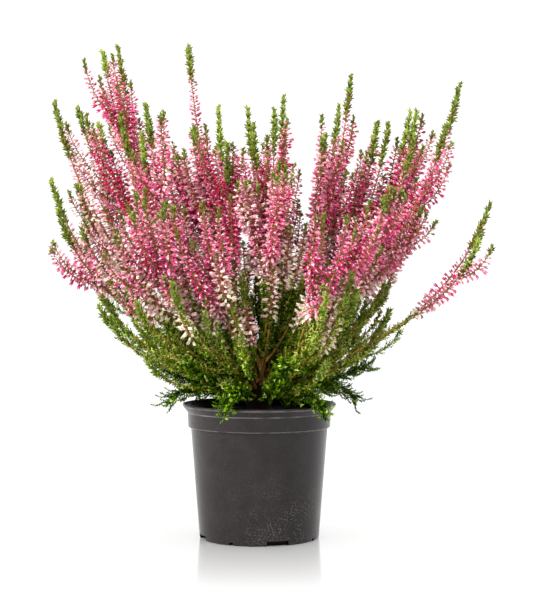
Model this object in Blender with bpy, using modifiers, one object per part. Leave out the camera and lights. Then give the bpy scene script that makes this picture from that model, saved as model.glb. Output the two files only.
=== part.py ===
"""Potted heather: a clump of flowering heather in a round plastic nursery pot.

The pot, its compost and the knobbly stool of the plant stand on the Z axis. A woody bough leaves
the stool for each flowering mass, and low leafy skirts hang over the pot's rim between them. Each
mass is one leading spike and a few side spikes that fork from it: leafy above the compost, thick
with bloom in the upper part and leafy again at the tip.

Metres, +Z up. The origin is on the ground under the middle of the pot, and -Y is the front.
"""

import collections
import itertools
import math
import random

import bmesh
import bpy
import numpy as np
from mathutils import Matrix, Quaternion, Vector
from mathutils.geometry import interpolate_bezier

# Pot: a moulded shell with a flared lip, a collar and a thick ring at its foot.
POT_HEIGHT = 0.096
LIP_RADIUS = 0.055
LIP_DROP = 0.0015
COLLAR_RADIUS = 0.0512
COLLAR_TOP = 0.0900
COLLAR_FOOT = 0.0795
BODY_TOP_RADIUS = 0.0489
BODY_FOOT_RADIUS = 0.0427
FOOT_ROUND = 0.0008
POT_WALL = 0.0011
FLOOR_THICK = 0.0012
RING_RADIUS = 0.0372
RING_THICK = 0.0037
POT_STEPS = 32

# Drain notches in the ring: wide slots a quarter turn apart, with a small nick between them.
SLOT_COUNT = 4
SLOT_BEARING = -72.0
SLOT_SIZE = (0.0155, 0.0027)
NICK_SIZE = (0.0030, 0.0022)
NOTCH_FROM = 0.0387
CUT_PAST = 0.004

# Compost, and the stool that the plant grows from.
SOIL_TOP = 0.0885
SOIL_FALL = 0.0030
SOIL_FLAT_RADIUS = 0.016
GAP = 0.0003
FLARE_RADIUS = 0.0125
NECK_RADIUS = 0.0085
NECK_HEIGHT = 0.0055
HEAD_RADIUS = 0.0105
HEAD_HEIGHT = 0.0125
STOOL_STEPS = 12

# Boughs and spikes.
CROWN = Vector((0.0, 0.0, 0.100))
HEAD = Vector((0.0, 0.0, SOIL_TOP + HEAD_HEIGHT))
BOUGH_SPAN = 0.030
BOUGH_RADII = (0.00130, 0.00095)
BOUGH_POINTS = 5
BOUGHS_APART = 21.0
SPREAD_ROUNDS = 200
START_LEAN = (1.25, 7.0, 70.0)
START_PULL = 0.36
END_LEAN = 0.36
END_PULL = 0.36
FORK_SPAN = (0.040, 0.064)
FORK_BEND = 1.6
SIDE_SWING = (4.5, 13.5)
SIDE_REACH = (0.75, 1.04)
PATH_POINTS = 11
SECTION_SIDES = 3
STEM_RADIUS = 0.0014
CORE_RADIUS = 0.0028
POINT_RADIUS = 0.0004
BLOOM_RISE = 0.092
BLOOM_PLAY = 0.010
GREEN_TIP = (0.018, 0.032)
TRIES = 80

# Blades that stand out of a stem: length, width and thickness, and how far apart they sit.
FLORET = (0.0092, 0.0070, 0.0050)
FLORET_PITCH = 0.0310
FLORET_ANGLE = 100.0
LEAF_SPRAY = (0.0230, 0.0072, 0.0048)
LEAF_PITCH = 0.0065
LEAF_ANGLE = 48.0
BLADE_SIDES = 3
SUNK = 0.0004
GOLDEN_ANGLE = 137.5

# Room that neighbours leave each other.
LOW_RISE = 0.070
LOW_GAP = 0.0012
BLOOM_GAP = 0.0037
OWN_GAP = 0.0032
BLADE_GAP = 0.0009
RIM_GAP = 0.0012
RIM_INSIDE = 0.0490

# The flowering masses: bearing and lean, in degrees, of the leading spike's tip as seen from the
# crown, its reach in metres, the side spikes that fork from it, and the seed of their spread.
# A bearing turns from +X, the right, towards +Y, the back.
MASSES = (
    ("left_low", -168, 44, 0.213, 2, 494),
    ("left_high", 176, 35, 0.258, 3, 432),
    ("back_left_high", 152, 25, 0.284, 3, 794),
    ("left_inner", -162, 27, 0.223, 2, 63),
    ("front_left", -130, 41, 0.178, 3, 703),
    ("back_centre_left", 140, 15, 0.266, 2, 170),
    ("centre_left", 180, 8, 0.209, 2, 217),
    ("front_centre_left", -112, 36, 0.167, 2, 401),
    ("back_centre", 71, 14, 0.227, 3, 693),
    ("front_centre", -80, 21, 0.168, 2, 178),
    ("centre_right", 33, 19, 0.248, 3, 259),
    ("front_right", -58, 41, 0.168, 2, 741),
    ("back_right_inner", 26, 31, 0.244, 3, 276),
    ("right_inner", -12, 31, 0.216, 2, 356),
    ("right_high", 8, 33, 0.270, 2, 779),
    ("right_low", -7, 50, 0.213, 1, 2),
    ("back_right_low", 40, 49, 0.214, 2, 1),
    ("back_right", 68, 40, 0.208, 3, 31),
    ("back_left", 112, 32, 0.228, 3, 805),
    ("back_left_low", 143, 46, 0.208, 3, 1),
)

# Low leafy skirts all round: every other one hangs over the pot's rim, the rest stand out above it.
SKIRT_COUNT = 12
SKIRT_BEARING = -106.0
SKIRT_PLAY = 5.0
SKIRT_LEAN = 97.0
HANGING_TIP = ((0.063, 0.076), (0.0930, 0.1000))
RISING_TIP = ((0.072, 0.088), (0.1120, 0.1300))
SKIRT_HEADING = 74.0
SKIRT_PULLS = (0.020, 0.024)
SKIRT_DROP_LEAN = 132.0
SKIRT_RISE_LEAN = 62.0
SKIRT_POINTS = 8
SKIRT_RADIUS = 0.0013
SKIRT_SPRAY = (0.0200, 0.0068, 0.0046)
SKIRT_PITCH = 0.0060

# Colour, roughness and metallic value of each finish.
FINISHES = {
    "pot_plastic": ((0.052, 0.048, 0.050), 0.55, 0.0),
    "compost": ((0.030, 0.020, 0.014), 0.95, 0.0),
    "wood": ((0.250, 0.120, 0.050), 0.80, 0.0),
    "leaf": ((0.130, 0.240, 0.030), 0.60, 0.0),
    "bloom": ((0.740, 0.130, 0.260), 0.55, 0.0),
}

UP = Vector((0.0, 0.0, 1.0))

Spike = collections.namedtuple("Spike", "path radii bloom")
Blade = collections.namedtuple("Blade", "root direction size finish")


def clear_scene():
    for old in list(bpy.data.objects):
        bpy.data.objects.remove(old)


def make_materials():
    made = {}
    for name, (colour, roughness, metallic) in FINISHES.items():
        material = bpy.data.materials.new(name)
        material.use_nodes = True
        shader = material.node_tree.nodes["Principled BSDF"]
        shader.inputs["Base Color"].default_value = (*colour, 1.0)
        shader.inputs["Roughness"].default_value = roughness
        shader.inputs["Metallic"].default_value = metallic
        made[name] = material
    return made


def add_object(name, data, material, collection):
    thing = bpy.data.objects.new(name, data)
    data.materials.append(material)
    collection.objects.link(thing)
    return thing


def baked(thing):
    """A plain mesh of the object as its modifiers or its curve make it."""
    bpy.context.view_layer.update()
    evaluated = thing.evaluated_get(bpy.context.evaluated_depsgraph_get())
    return bpy.data.meshes.new_from_object(evaluated)


# Pot and compost


def turned(name, profile, steps, material, collection):
    """A closed turned solid. The profile runs from the axis, down its outer side, to the axis."""
    mesh = bpy.data.meshes.new(name)
    points = [(radius, 0.0, height) for radius, height in profile]
    mesh.from_pydata(points, [(k, k + 1) for k in range(len(points) - 1)], [])
    thing = add_object(name, mesh, material, collection)
    screw = thing.modifiers.new("Turn", "SCREW")
    screw.steps = steps
    screw.render_steps = steps
    screw.use_merge_vertices = True
    screw.merge_threshold = 0.0001
    return thing


def pot_outside():
    """Radius and height down the outside of the pot."""
    return [
        (LIP_RADIUS - POT_WALL, POT_HEIGHT),
        (LIP_RADIUS, POT_HEIGHT),
        (LIP_RADIUS - 0.0002, POT_HEIGHT - LIP_DROP),
        (COLLAR_RADIUS, COLLAR_TOP),
        (COLLAR_RADIUS - 0.0004, COLLAR_FOOT),
        (BODY_TOP_RADIUS, COLLAR_FOOT - 0.0006),
        (BODY_FOOT_RADIUS, FOOT_ROUND),
        (BODY_FOOT_RADIUS - FOOT_ROUND, 0.0),
    ]


def pot_inside():
    """Radius and height up the inside of the pot, from the edge of its floor."""
    return [
        (RING_RADIUS - RING_THICK / 2, FLOOR_THICK),
        (RING_RADIUS, RING_THICK),
        (BODY_FOOT_RADIUS - POT_WALL, RING_THICK),
        (BODY_TOP_RADIUS - POT_WALL, COLLAR_FOOT),
        (COLLAR_RADIUS - POT_WALL, COLLAR_FOOT + POT_WALL),
        (COLLAR_RADIUS - POT_WALL, COLLAR_TOP),
    ]


def make_pot(materials, parts, cutters):
    profile = [(0.0, FLOOR_THICK), *pot_inside(), *pot_outside(), (0.0, 0.0)]
    pot = turned("pot", profile, POT_STEPS, materials["pot_plastic"], parts)
    for k in range(2 * SLOT_COUNT):
        width, height = (SLOT_SIZE, NICK_SIZE)[k % 2]
        depth = BODY_FOOT_RADIUS + CUT_PAST - NOTCH_FROM
        mesh = bpy.data.meshes.new(f"notch_{k + 1}")
        shape = bmesh.new()
        bmesh.ops.create_cube(shape, size=1.0)
        bmesh.ops.scale(shape, vec=(depth, width, 2.0 * height), verts=shape.verts)
        bmesh.ops.translate(shape, vec=(NOTCH_FROM + depth / 2, 0.0, 0.0), verts=shape.verts)
        shape.to_mesh(mesh)
        shape.free()
        notch = add_object(mesh.name, mesh, materials["pot_plastic"], cutters)
        notch.rotation_euler.z = math.radians(SLOT_BEARING + 180.0 * k / SLOT_COUNT)
        notch.display_type = "WIRE"
        notch.hide_render = True
        cut = pot.modifiers.new(mesh.name, "BOOLEAN")
        cut.object = notch
        cut.operation = "DIFFERENCE"
    return pot


def make_compost(materials, parts):
    """Compost fills the pot to a little under its lip, highest round the stool."""
    wall = [(radius - GAP, height + GAP) for radius, height in pot_inside()]
    edge = COLLAR_RADIUS - POT_WALL - GAP
    top = [(0.0, SOIL_TOP), (SOIL_FLAT_RADIUS, SOIL_TOP), (edge, SOIL_TOP - SOIL_FALL)]
    down = [point for point in reversed(wall) if point[1] < SOIL_TOP - SOIL_FALL]
    profile = [*top, *down, (0.0, FLOOR_THICK + GAP)]
    return turned("compost", profile, POT_STEPS, materials["compost"], parts)


# Stool and boughs


def make_stool(materials, parts):
    """The short trunk: a root flare cut flat at the compost, a neck and a knobbly head."""
    foot = SOIL_TOP + GAP
    profile = [(0.0, HEAD.z + HEAD_RADIUS)]
    for lean in range(30, 121, 30):
        turn = math.radians(lean)
        profile.append((HEAD_RADIUS * math.sin(turn), HEAD.z + HEAD_RADIUS * math.cos(turn)))
    profile += [
        (NECK_RADIUS, foot + NECK_HEIGHT),
        ((NECK_RADIUS + FLARE_RADIUS) / 2.1, foot + NECK_HEIGHT / 3),
        (FLARE_RADIUS, foot),
        (0.0, foot),
    ]
    return turned("trunk", profile, STOOL_STEPS, materials["wood"], parts)


def make_section(collection):
    """The outline that a twig's tube follows, of unit radius and few sides."""
    curve = bpy.data.curves.new("twig_section", "CURVE")
    spline = curve.splines.new("POLY")
    spline.points.add(SECTION_SIDES - 1)
    for k, point in enumerate(spline.points):
        turn = math.tau * k / SECTION_SIDES
        point.co = (math.cos(turn), math.sin(turn), 0.0, 1.0)
    spline.use_cyclic_u = True
    section = bpy.data.objects.new("twig_section", curve)
    section.hide_render = True
    section.display_type = "WIRE"
    collection.objects.link(section)
    return section


def make_tube(name, path, radii, material, collection, section=None):
    """A tapering tube along a path, with closed ends. It is round unless it follows a section."""
    curve = bpy.data.curves.new(name, "CURVE")
    curve.dimensions = "3D"
    curve.use_fill_caps = True
    if section:
        curve.bevel_mode = "OBJECT"
        curve.bevel_object = section
    else:
        curve.bevel_depth = 1.0
        curve.bevel_resolution = 1
    spline = curve.splines.new("POLY")
    spline.points.add(len(path) - 1)
    for point, place, radius in zip(spline.points, path, radii):
        point.co = (*place, 1.0)
        point.radius = radius
    return add_object(name, curve, material, collection)


def tapered(first, last, count):
    return [first + (last - first) * k / (count - 1) for k in range(count)]


def make_boughs(masses, materials, parts):
    """One bough from the stool's head to the foot of each mass."""
    radii = tapered(*BOUGH_RADII, BOUGH_POINTS)
    for name, spikes in masses.items():
        path = evenly(stretch(spikes[0].path, 0.0, BOUGH_SPAN), BOUGH_POINTS)
        make_tube(f"bough_{name}", path, radii, materials["wood"], parts)


# Growth rule


def aim(bearing, lean):
    """The unit vector that leans this far from upright towards this bearing, in degrees."""
    turn = math.radians(bearing)
    tilt = math.radians(lean)
    return Vector((math.sin(tilt) * math.cos(turn), math.sin(tilt) * math.sin(turn), math.cos(tilt)))


def evenly(points, count):
    """The same line with this many points, an equal length apart."""
    line = np.array(points)
    run = np.concatenate([[0.0], np.cumsum(np.linalg.norm(np.diff(line, axis=0), axis=1))])
    wanted = np.linspace(0.0, run[-1], count)
    return [Vector([np.interp(place, run, line[:, k]) for k in range(3)]) for place in wanted]


def length_of(path):
    return sum((b - a).length for a, b in zip(path, path[1:]))


def point_at(path, span):
    """The point this far along a path, and the path's direction there."""
    for a, b in zip(path, path[1:]):
        step = (b - a).length
        if span <= step:
            return a.lerp(b, span / step), (b - a).normalized()
        span -= step
    return path[-1].copy(), (path[-1] - path[-2]).normalized()


def stretch(path, start, end):
    """The part of a path between two distances along it."""
    inner = []
    run = 0.0
    for a, b in zip(path, path[1:]):
        run += (b - a).length
        if start < run < end:
            inner.append(b)
    return [point_at(path, start)[0], *inner, point_at(path, end)[0]]


def spike_path(root, heading, tip):
    """A spike leaves its root along heading and turns up towards the light at its tip."""
    chord = tip - root
    bearing = math.degrees(math.atan2(chord.y, chord.x))
    lean = math.degrees(chord.angle(UP))
    leave = root + heading * chord.length * START_PULL
    arrive = tip - aim(bearing, lean * END_LEAN) * chord.length * END_PULL
    return evenly(interpolate_bezier(root, leave, arrive, tip, 40), PATH_POINTS)


def start_headings():
    """The direction in which each mass's bough leaves the stool, pushed apart where they crowd."""
    scale, offset, most = START_LEAN
    headings = [aim(bearing, min(lean * scale + offset, most)) for _, bearing, lean, *_ in MASSES]
    apart = math.radians(BOUGHS_APART)
    for _ in range(SPREAD_ROUNDS):
        for first, second in itertools.combinations(headings, 2):
            push = (apart - first.angle(second)) / 4.0
            if push > 0.0:
                axis = first.cross(second).normalized()
                first.rotate(Quaternion(axis, -push))
                second.rotate(Quaternion(axis, push))
        for heading in headings:
            excess = heading.angle(UP) - math.radians(most)
            if excess > 0.0:
                heading.rotate(Quaternion(heading.cross(UP).normalized(), excess))
    return headings


def as_spike(path, rng):
    """A spike's radii, and the shares of its length between which it blooms."""
    rise = BLOOM_RISE + rng.uniform(-BLOOM_PLAY, BLOOM_PLAY)
    last = len(path) - 1
    start = next((k for k, point in enumerate(path) if (point - CROWN).length > rise), last) / last
    end = 1.0 - rng.uniform(*GREEN_TIP) / length_of(path)
    radii = []
    for k in range(last + 1):
        share = k / last
        if share < start:
            radii.append(STEM_RADIUS)
        elif share < end:
            radii.append(CORE_RADIUS)
        else:
            radii.append(POINT_RADIUS + (0.8 * CORE_RADIUS - POINT_RADIUS) * (1.0 - share) / (1.0 - end))
    return Spike(path, radii, (start, end))


def grow_masses():
    """The leading spike of every mass, and then the side spikes that find room round them."""
    masses = {}
    lead_rng = random.Random(0)
    for heading, (name, bearing, lean, reach, _, _) in zip(start_headings(), MASSES):
        root = HEAD + heading * (HEAD_RADIUS + GAP)
        path = spike_path(root, heading, CROWN + aim(bearing, lean) * reach)
        masses[name] = [as_spike(path, lead_rng)]
    for name, bearing, lean, reach, count, seed in MASSES:
        rng = random.Random(seed)
        for _ in range(count):
            for _ in range(TRIES):
                spike = side_spike(masses[name][0], aim(bearing, lean) * reach, rng)
                others = [other for key in masses if key != name for other in masses[key]]
                if has_room(spike, others) and stands_apart(spike, masses[name]):
                    masses[name].append(spike)
                    break
    return masses


def side_spike(lead, toward, rng):
    """A spike that forks from the leading one and ends to one side of it."""
    across = toward.cross(UP).normalized()
    swing = Matrix.Rotation(math.radians(rng.uniform(*SIDE_SWING)), 3, across)
    roll = Matrix.Rotation(rng.uniform(0.0, math.tau), 3, toward)
    tip = CROWN + roll @ swing @ toward * rng.uniform(*SIDE_REACH)
    root, along = point_at(lead.path, rng.uniform(*FORK_SPAN))
    heading = (along + (tip - root).normalized() * FORK_BEND).normalized()
    return as_spike(spike_path(root, heading, tip), rng)


def segments_of(path, radii):
    """Arrays of a line's segment ends, and the greater radius of each segment."""
    line = np.array(path)
    return line[:-1], line[1:], np.maximum(radii[:-1], radii[1:])


def joined(groups):
    return tuple(np.concatenate([group[k] for group in groups]) for k in range(3))


def surface_gap(points, segments):
    """From each point to the nearest surface of the segments."""
    starts, ends, radii = segments
    along = ends - starts
    offset = points[:, None, :] - starts[None, :, :]
    share = np.clip((offset * along).sum(-1) / (along**2).sum(-1), 0.0, 1.0)
    return (np.linalg.norm(offset - share[..., None] * along, axis=-1) - radii).min(axis=1)


def spike_gaps(spike, others):
    """The gap to the others at each point of a spike, and how far each point is from the crown."""
    line = np.array(spike.path)
    segments = joined([segments_of(other.path, other.radii) for other in others])
    return surface_gap(line, segments) - np.array(spike.radii), np.linalg.norm(line - np.array(CROWN), axis=1)


def has_room(spike, others):
    gaps, rise = spike_gaps(spike, others)
    return bool((gaps > np.where(rise < LOW_RISE, LOW_GAP, BLOOM_GAP)).all())


def stands_apart(spike, own):
    """Past its fork, a side spike stands clear of its own mass's spikes."""
    gaps, rise = spike_gaps(spike, own)
    return bool((gaps[rise > BLOOM_RISE + 2 * BLOOM_PLAY] > OWN_GAP).all())


def grow_skirts():
    """Low leafy stems that leave the stool's waist, hanging over the rim and rising by turns."""
    skirts = {}
    for k in range(SKIRT_COUNT):
        rng = random.Random(100 + k)
        bearing = SKIRT_BEARING + 360.0 * k / SKIRT_COUNT + rng.uniform(-SKIRT_PLAY, SKIRT_PLAY)
        reach, height = (HANGING_TIP, RISING_TIP)[k % 2]
        tip = aim(bearing, 90.0) * rng.uniform(*reach) + UP * rng.uniform(*height)
        root = HEAD + aim(bearing, SKIRT_LEAN) * (HEAD_RADIUS + GAP)
        leave = root + aim(bearing, SKIRT_HEADING) * SKIRT_PULLS[0]
        arrive = tip - aim(bearing, (SKIRT_DROP_LEAN, SKIRT_RISE_LEAN)[k % 2]) * SKIRT_PULLS[1]
        path = evenly(interpolate_bezier(root, leave, arrive, tip, 30), SKIRT_POINTS)
        radii = [*[SKIRT_RADIUS] * (SKIRT_POINTS - 1), POINT_RADIUS]
        skirts[f"skirt_{k + 1}"] = [Spike(path, radii, (1.0, 1.0))]
    return skirts


# Leaves and florets


def standing_out(path, span, turn, angle):
    """A place on a path, and a direction that leaves the path there at this angle."""
    place, along = point_at(path, span)
    across = along.cross(UP).normalized() if along.cross(UP).length > 0.01 else Vector((1.0, 0.0, 0.0))
    outward = Matrix.Rotation(math.radians(turn), 3, along) @ across
    tilt = math.radians(angle)
    return place, along * math.cos(tilt) + outward * math.sin(tilt)


def blades_between(spike, start, end, pitch, angle, size, finish, rng):
    """Blades on a stretch of a spike, each a golden angle round from the last."""
    blades = []
    first = rng.uniform(0.0, 360.0)
    count = max(int((end - start) / pitch), 0)
    for k in range(count):
        span = start + (k + 0.5) * (end - start) / count
        place, direction = standing_out(spike.path, span, first + GOLDEN_ANGLE * k, angle)
        blades.append(Blade(place, direction, size, finish))
    return blades


def spike_blades(spike, bare, rng):
    """Leaf sprays on the lower stem and florets in bloom."""
    start, end = (share * length_of(spike.path) for share in spike.bloom)
    leafy = blades_between(spike, bare, start, LEAF_PITCH, LEAF_ANGLE, LEAF_SPRAY, "leaf", rng)
    return leafy + blades_between(spike, start, end, FLORET_PITCH, FLORET_ANGLE, FLORET, "bloom", rng)


def blade_profile(blade, shares):
    """Points along a blade at these shares of its length, and its half width at each."""
    length, width, _ = blade.size
    points = np.array(blade.root) + np.outer(shares * length - SUNK, blade.direction)
    return points, width / 2 * (1.0 - np.abs(2.0 * shares - 1.0))


def blade_fits(blade, own, others):
    """A blade clears everything that isn't its own mass's, and ends in its own mass's space."""
    points, thick = blade_profile(blade, np.linspace(0.2, 1.0, 7))
    if (surface_gap(points, others) - thick < BLADE_GAP).any():
        return False
    if surface_gap(points[-1:], own)[0] > surface_gap(points[-1:], others)[0]:
        return False
    radius = np.hypot(points[:, 0], points[:, 1]) - thick
    height = points[:, 2] - thick
    floor = np.where(radius > RIM_INSIDE, POT_HEIGHT + RIM_GAP, SOIL_TOP + GAP)
    return bool(((height > floor) | (radius > LIP_RADIUS + RIM_GAP)).all())


def trunk_segments():
    return segments_of([UP * SOIL_TOP, HEAD], [FLARE_RADIUS, HEAD_RADIUS])


def dress(masses, skirts):
    """The blades of every mass and skirt that find room."""
    groups = {**masses, **skirts}
    stems = {}
    for name, spikes in groups.items():
        stems[name] = joined([segments_of(spike.path, spike.radii) for spike in spikes])
    grown = {name: [] for name in groups}
    for order, (name, spikes) in enumerate(groups.items()):
        rng = random.Random(order)
        others = [trunk_segments(), *(stems[key] for key in groups if key != name)]
        blades = [blade for key in groups if key != name for blade in grown[key]]
        others += [segments_of(*blade_profile(blade, np.linspace(0.0, 1.0, 5))) for blade in blades]
        others = joined(others)
        for k, spike in enumerate(spikes):
            if name in skirts:
                bare, whole = HEAD_RADIUS, length_of(spike.path)
                wanted = blades_between(spike, bare, whole, SKIRT_PITCH, LEAF_ANGLE, SKIRT_SPRAY, "leaf", rng)
            else:
                wanted = spike_blades(spike, (BOUGH_SPAN + LEAF_PITCH) if k == 0 else LEAF_PITCH, rng)
            grown[name] += [blade for blade in wanted if blade_fits(blade, stems[name], others)]
    return grown


def make_blade(name, blade, material, collection):
    """A pointed blade with few sides, its root end sunk past the stem's axis."""
    length, width, thickness = blade.size
    mesh = bpy.data.meshes.new(name)
    shape = bmesh.new()
    bmesh.ops.create_uvsphere(shape, u_segments=BLADE_SIDES, v_segments=2, radius=0.5)
    middle = blade.root + blade.direction * (length / 2 - SUNK)
    turn = blade.direction.to_track_quat("Z", "Y").to_matrix().to_4x4()
    sizes = Matrix.Diagonal((width, thickness, length, 1.0))
    bmesh.ops.transform(shape, matrix=Matrix.Translation(middle) @ turn @ sizes, verts=shape.verts)
    shape.to_mesh(mesh)
    shape.free()
    return add_object(name, mesh, material, collection)


# Masses


def as_mesh(tube):
    """Replaces a tube's curve with a mesh whose caps are welded on."""
    mesh = baked(tube)
    shape = bmesh.new()
    shape.from_mesh(mesh)
    bmesh.ops.remove_doubles(shape, verts=shape.verts, dist=0.00001)
    bmesh.ops.recalc_face_normals(shape, faces=shape.faces)
    shape.to_mesh(mesh)
    shape.free()
    name, holders = tube.name, list(tube.users_collection)
    bpy.data.objects.remove(tube)
    solid = bpy.data.objects.new(name, mesh)
    for collection in holders:
        collection.objects.link(solid)
    return solid


def drop_scraps(mesh):
    """Keeps the largest of a mesh's separate bodies."""
    shape = bmesh.new()
    shape.from_mesh(mesh)
    unseen = set(shape.faces)
    bodies = []
    while unseen:
        body = set()
        reached = [unseen.pop()]
        while reached:
            face = reached.pop()
            body.add(face)
            beside = {other for edge in face.edges for other in edge.link_faces} & unseen
            unseen -= beside
            reached += beside
        bodies.append(body)
    kept = max(bodies, key=len)
    bmesh.ops.delete(shape, geom=[face for face in shape.faces if face not in kept], context="FACES")
    bmesh.ops.triangulate(shape, faces=shape.faces)
    shape.to_mesh(mesh)
    shape.free()


def make_mass(name, spikes, blades, start, section, materials, parts):
    """One closed solid of a mass: its spikes with their leaves and florets fused on."""
    pieces = bpy.data.collections.new(f"pieces_{name}")
    bpy.context.scene.collection.children.link(pieces)
    lead = spikes[0]
    whole = length_of(lead.path)
    foot = stretch(lead.path, start, whole)
    radii = [BOUGH_RADII[1] if start else SKIRT_RADIUS, *lead.radii[1 - len(foot):]]
    mass = as_mesh(make_tube(name, foot, radii, materials["leaf"], parts, section))
    for k, spike in enumerate(spikes[1:]):
        side = f"{name}_side_{k + 1}"
        as_mesh(make_tube(side, spike.path, spike.radii, materials["leaf"], pieces, section))
    for k, blade in enumerate(blades):
        make_blade(f"{name}_blade_{k + 1}", blade, materials[blade.finish], pieces)
    fuse = mass.modifiers.new("Fuse", "BOOLEAN")
    fuse.operation = "UNION"
    fuse.operand_type = "COLLECTION"
    fuse.collection = pieces
    fuse.solver = "EXACT"
    fuse.material_mode = "TRANSFER"
    mass.data = baked(mass)
    mass.modifiers.clear()
    drop_scraps(mass.data)
    for piece in list(pieces.objects):
        bpy.data.objects.remove(piece)
    bpy.data.collections.remove(pieces)
    return mass


def main():
    clear_scene()
    materials = make_materials()
    parts = bpy.data.collections.new("potted_heather")
    cutters = bpy.data.collections.new("cutters")
    for collection in (parts, cutters):
        bpy.context.scene.collection.children.link(collection)
    make_pot(materials, parts, cutters)
    make_compost(materials, parts)
    make_stool(materials, parts)
    masses = grow_masses()
    skirts = grow_skirts()
    blades = dress(masses, skirts)
    make_boughs(masses, materials, parts)
    section = make_section(cutters)
    for name, spikes in masses.items():
        make_mass(f"spikes_{name}", spikes, blades[name], BOUGH_SPAN + GAP, section, materials, parts)
    for name, spikes in skirts.items():
        make_mass(name, spikes, blades[name], 0.0, section, materials, parts)


main()
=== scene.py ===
# Potted heather: a bushy ling in bud bloom, in the plain black nursery pot that it was sold in.
# The sections follow the plant as it is put together: pot, compost, stool and boughs, flower
# spikes, leafy side shoots, the skirts that hang over the rim, leaves, florets and green tips.

import collections
import itertools
import math
import random

import bmesh
import bpy
import numpy as np
from mathutils import Matrix, Quaternion, Vector, noise
from mathutils.geometry import interpolate_bezier


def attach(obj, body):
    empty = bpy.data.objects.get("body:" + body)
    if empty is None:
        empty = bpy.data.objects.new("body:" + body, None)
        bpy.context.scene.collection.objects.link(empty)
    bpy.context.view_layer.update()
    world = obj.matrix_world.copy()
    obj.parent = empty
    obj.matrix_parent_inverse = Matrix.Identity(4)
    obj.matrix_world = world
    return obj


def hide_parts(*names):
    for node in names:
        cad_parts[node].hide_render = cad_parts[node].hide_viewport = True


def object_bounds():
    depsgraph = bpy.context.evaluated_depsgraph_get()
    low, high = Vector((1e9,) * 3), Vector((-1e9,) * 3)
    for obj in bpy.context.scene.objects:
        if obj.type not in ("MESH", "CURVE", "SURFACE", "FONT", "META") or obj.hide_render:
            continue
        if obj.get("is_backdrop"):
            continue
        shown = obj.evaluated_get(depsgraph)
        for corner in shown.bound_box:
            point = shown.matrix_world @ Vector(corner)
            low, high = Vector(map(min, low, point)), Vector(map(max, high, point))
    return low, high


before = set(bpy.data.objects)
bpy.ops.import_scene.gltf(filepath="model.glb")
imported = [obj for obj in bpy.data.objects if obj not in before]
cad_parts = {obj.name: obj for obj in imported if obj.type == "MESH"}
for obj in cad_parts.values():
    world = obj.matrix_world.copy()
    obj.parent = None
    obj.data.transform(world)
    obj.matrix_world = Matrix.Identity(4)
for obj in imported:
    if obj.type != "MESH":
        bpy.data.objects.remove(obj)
cad_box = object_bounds()
scene = bpy.context.scene


# Camera and studio
# The plant stands on a white acrylic floor, lit faintly from below and polished round the pot, in a
# white cove that lights it from all round. A soft box above its left shoulder lights all but the
# floor. The camera is a long lens, level with the middle of the plant.

CAMERA_PLACE = (0.0066, -1.15, 0.195)
CAMERA_PITCH = math.radians(88.87)
CAMERA_LENS = 97.6
CLIP_START = 0.01
WHITE = (1.0, 1.0, 1.0, 1.0)
COVE_STRENGTH = 1.16
KEY_PLACE = (-0.95, -0.75, 1.00)
KEY_AIM = Vector((0.0, 0.0, 0.2))
KEY_WIDTH = 0.55
KEY_POWER = 46.0
FLOOR_WIDTH = 40.0
FLOOR_WHITE = (0.98, 0.98, 0.98)
FLOOR_ROUGH = 0.12
FLOOR_GLOW = 0.066
POLISH_NEAR = 0.043
POLISH_FAR = 0.235
POLISH = 1.00

lens = bpy.data.cameras.new("camera")
lens.lens = CAMERA_LENS
lens.clip_start = CLIP_START
camera = bpy.data.objects.new("camera", lens)
camera.location = CAMERA_PLACE
camera.rotation_euler.x = CAMERA_PITCH
scene.collection.objects.link(camera)
scene.camera = camera
scene.view_settings.view_transform = "Standard"

cove = bpy.data.worlds.new("white_cove")
cove.use_nodes = True
cove.node_tree.nodes["Background"].inputs["Color"].default_value = WHITE
cove.node_tree.nodes["Background"].inputs["Strength"].default_value = COVE_STRENGTH
scene.world = cove

soft_box = bpy.data.lights.new("soft_box", "AREA")
soft_box.size = KEY_WIDTH
soft_box.energy = KEY_POWER
key = bpy.data.objects.new("soft_box", soft_box)
key.location = KEY_PLACE
key.rotation_euler = (KEY_AIM - key.location).to_track_quat("-Z", "Y").to_euler()
scene.collection.objects.link(key)


def new_finish(name, roughness, colour=(0.8, 0.8, 0.8)):
    """A material of this roughness and colour, its node tree and its shader."""
    material = bpy.data.materials.new(name)
    material.use_nodes = True
    shader = material.node_tree.nodes["Principled BSDF"]
    shader.inputs["Base Color"].default_value = (*colour, 1.0)
    shader.inputs["Roughness"].default_value = roughness
    return material, material.node_tree, shader


def add_piece(name, mesh):
    piece = bpy.data.objects.new(name, mesh)
    scene.collection.objects.link(piece)
    return piece


def add_node(tree, kind, links=None, **settings):
    """A node with these settings. Each input is linked to a socket, or set to a plain value."""
    made = tree.nodes.new(kind)
    for setting, value in settings.items():
        setattr(made, setting, value)
    for label, value in (links or {}).items():
        if isinstance(value, bpy.types.NodeSocket):
            tree.links.new(value, made.inputs[label])
        else:
            made.inputs[label].default_value = value
    return made


def range_of(tree, value, low, high, start=0.0, end=1.0):
    """A value mapped from low..high to start..end, and held there past both ends."""
    links = {"Value": value, "From Min": low, "From Max": high, "To Min": start, "To Max": end}
    return add_node(tree, "ShaderNodeMapRange", links).outputs["Result"]


def math_of(tree, operation, *values):
    return add_node(tree, "ShaderNodeMath", dict(enumerate(values)), operation=operation).outputs[0]


def product_of(tree, first, second):
    return math_of(tree, "MULTIPLY", first, second)


def place_of(tree):
    """The place on a piece, in metres, that patterns read."""
    return add_node(tree, "ShaderNodeTexCoord").outputs["Object"]


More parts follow.
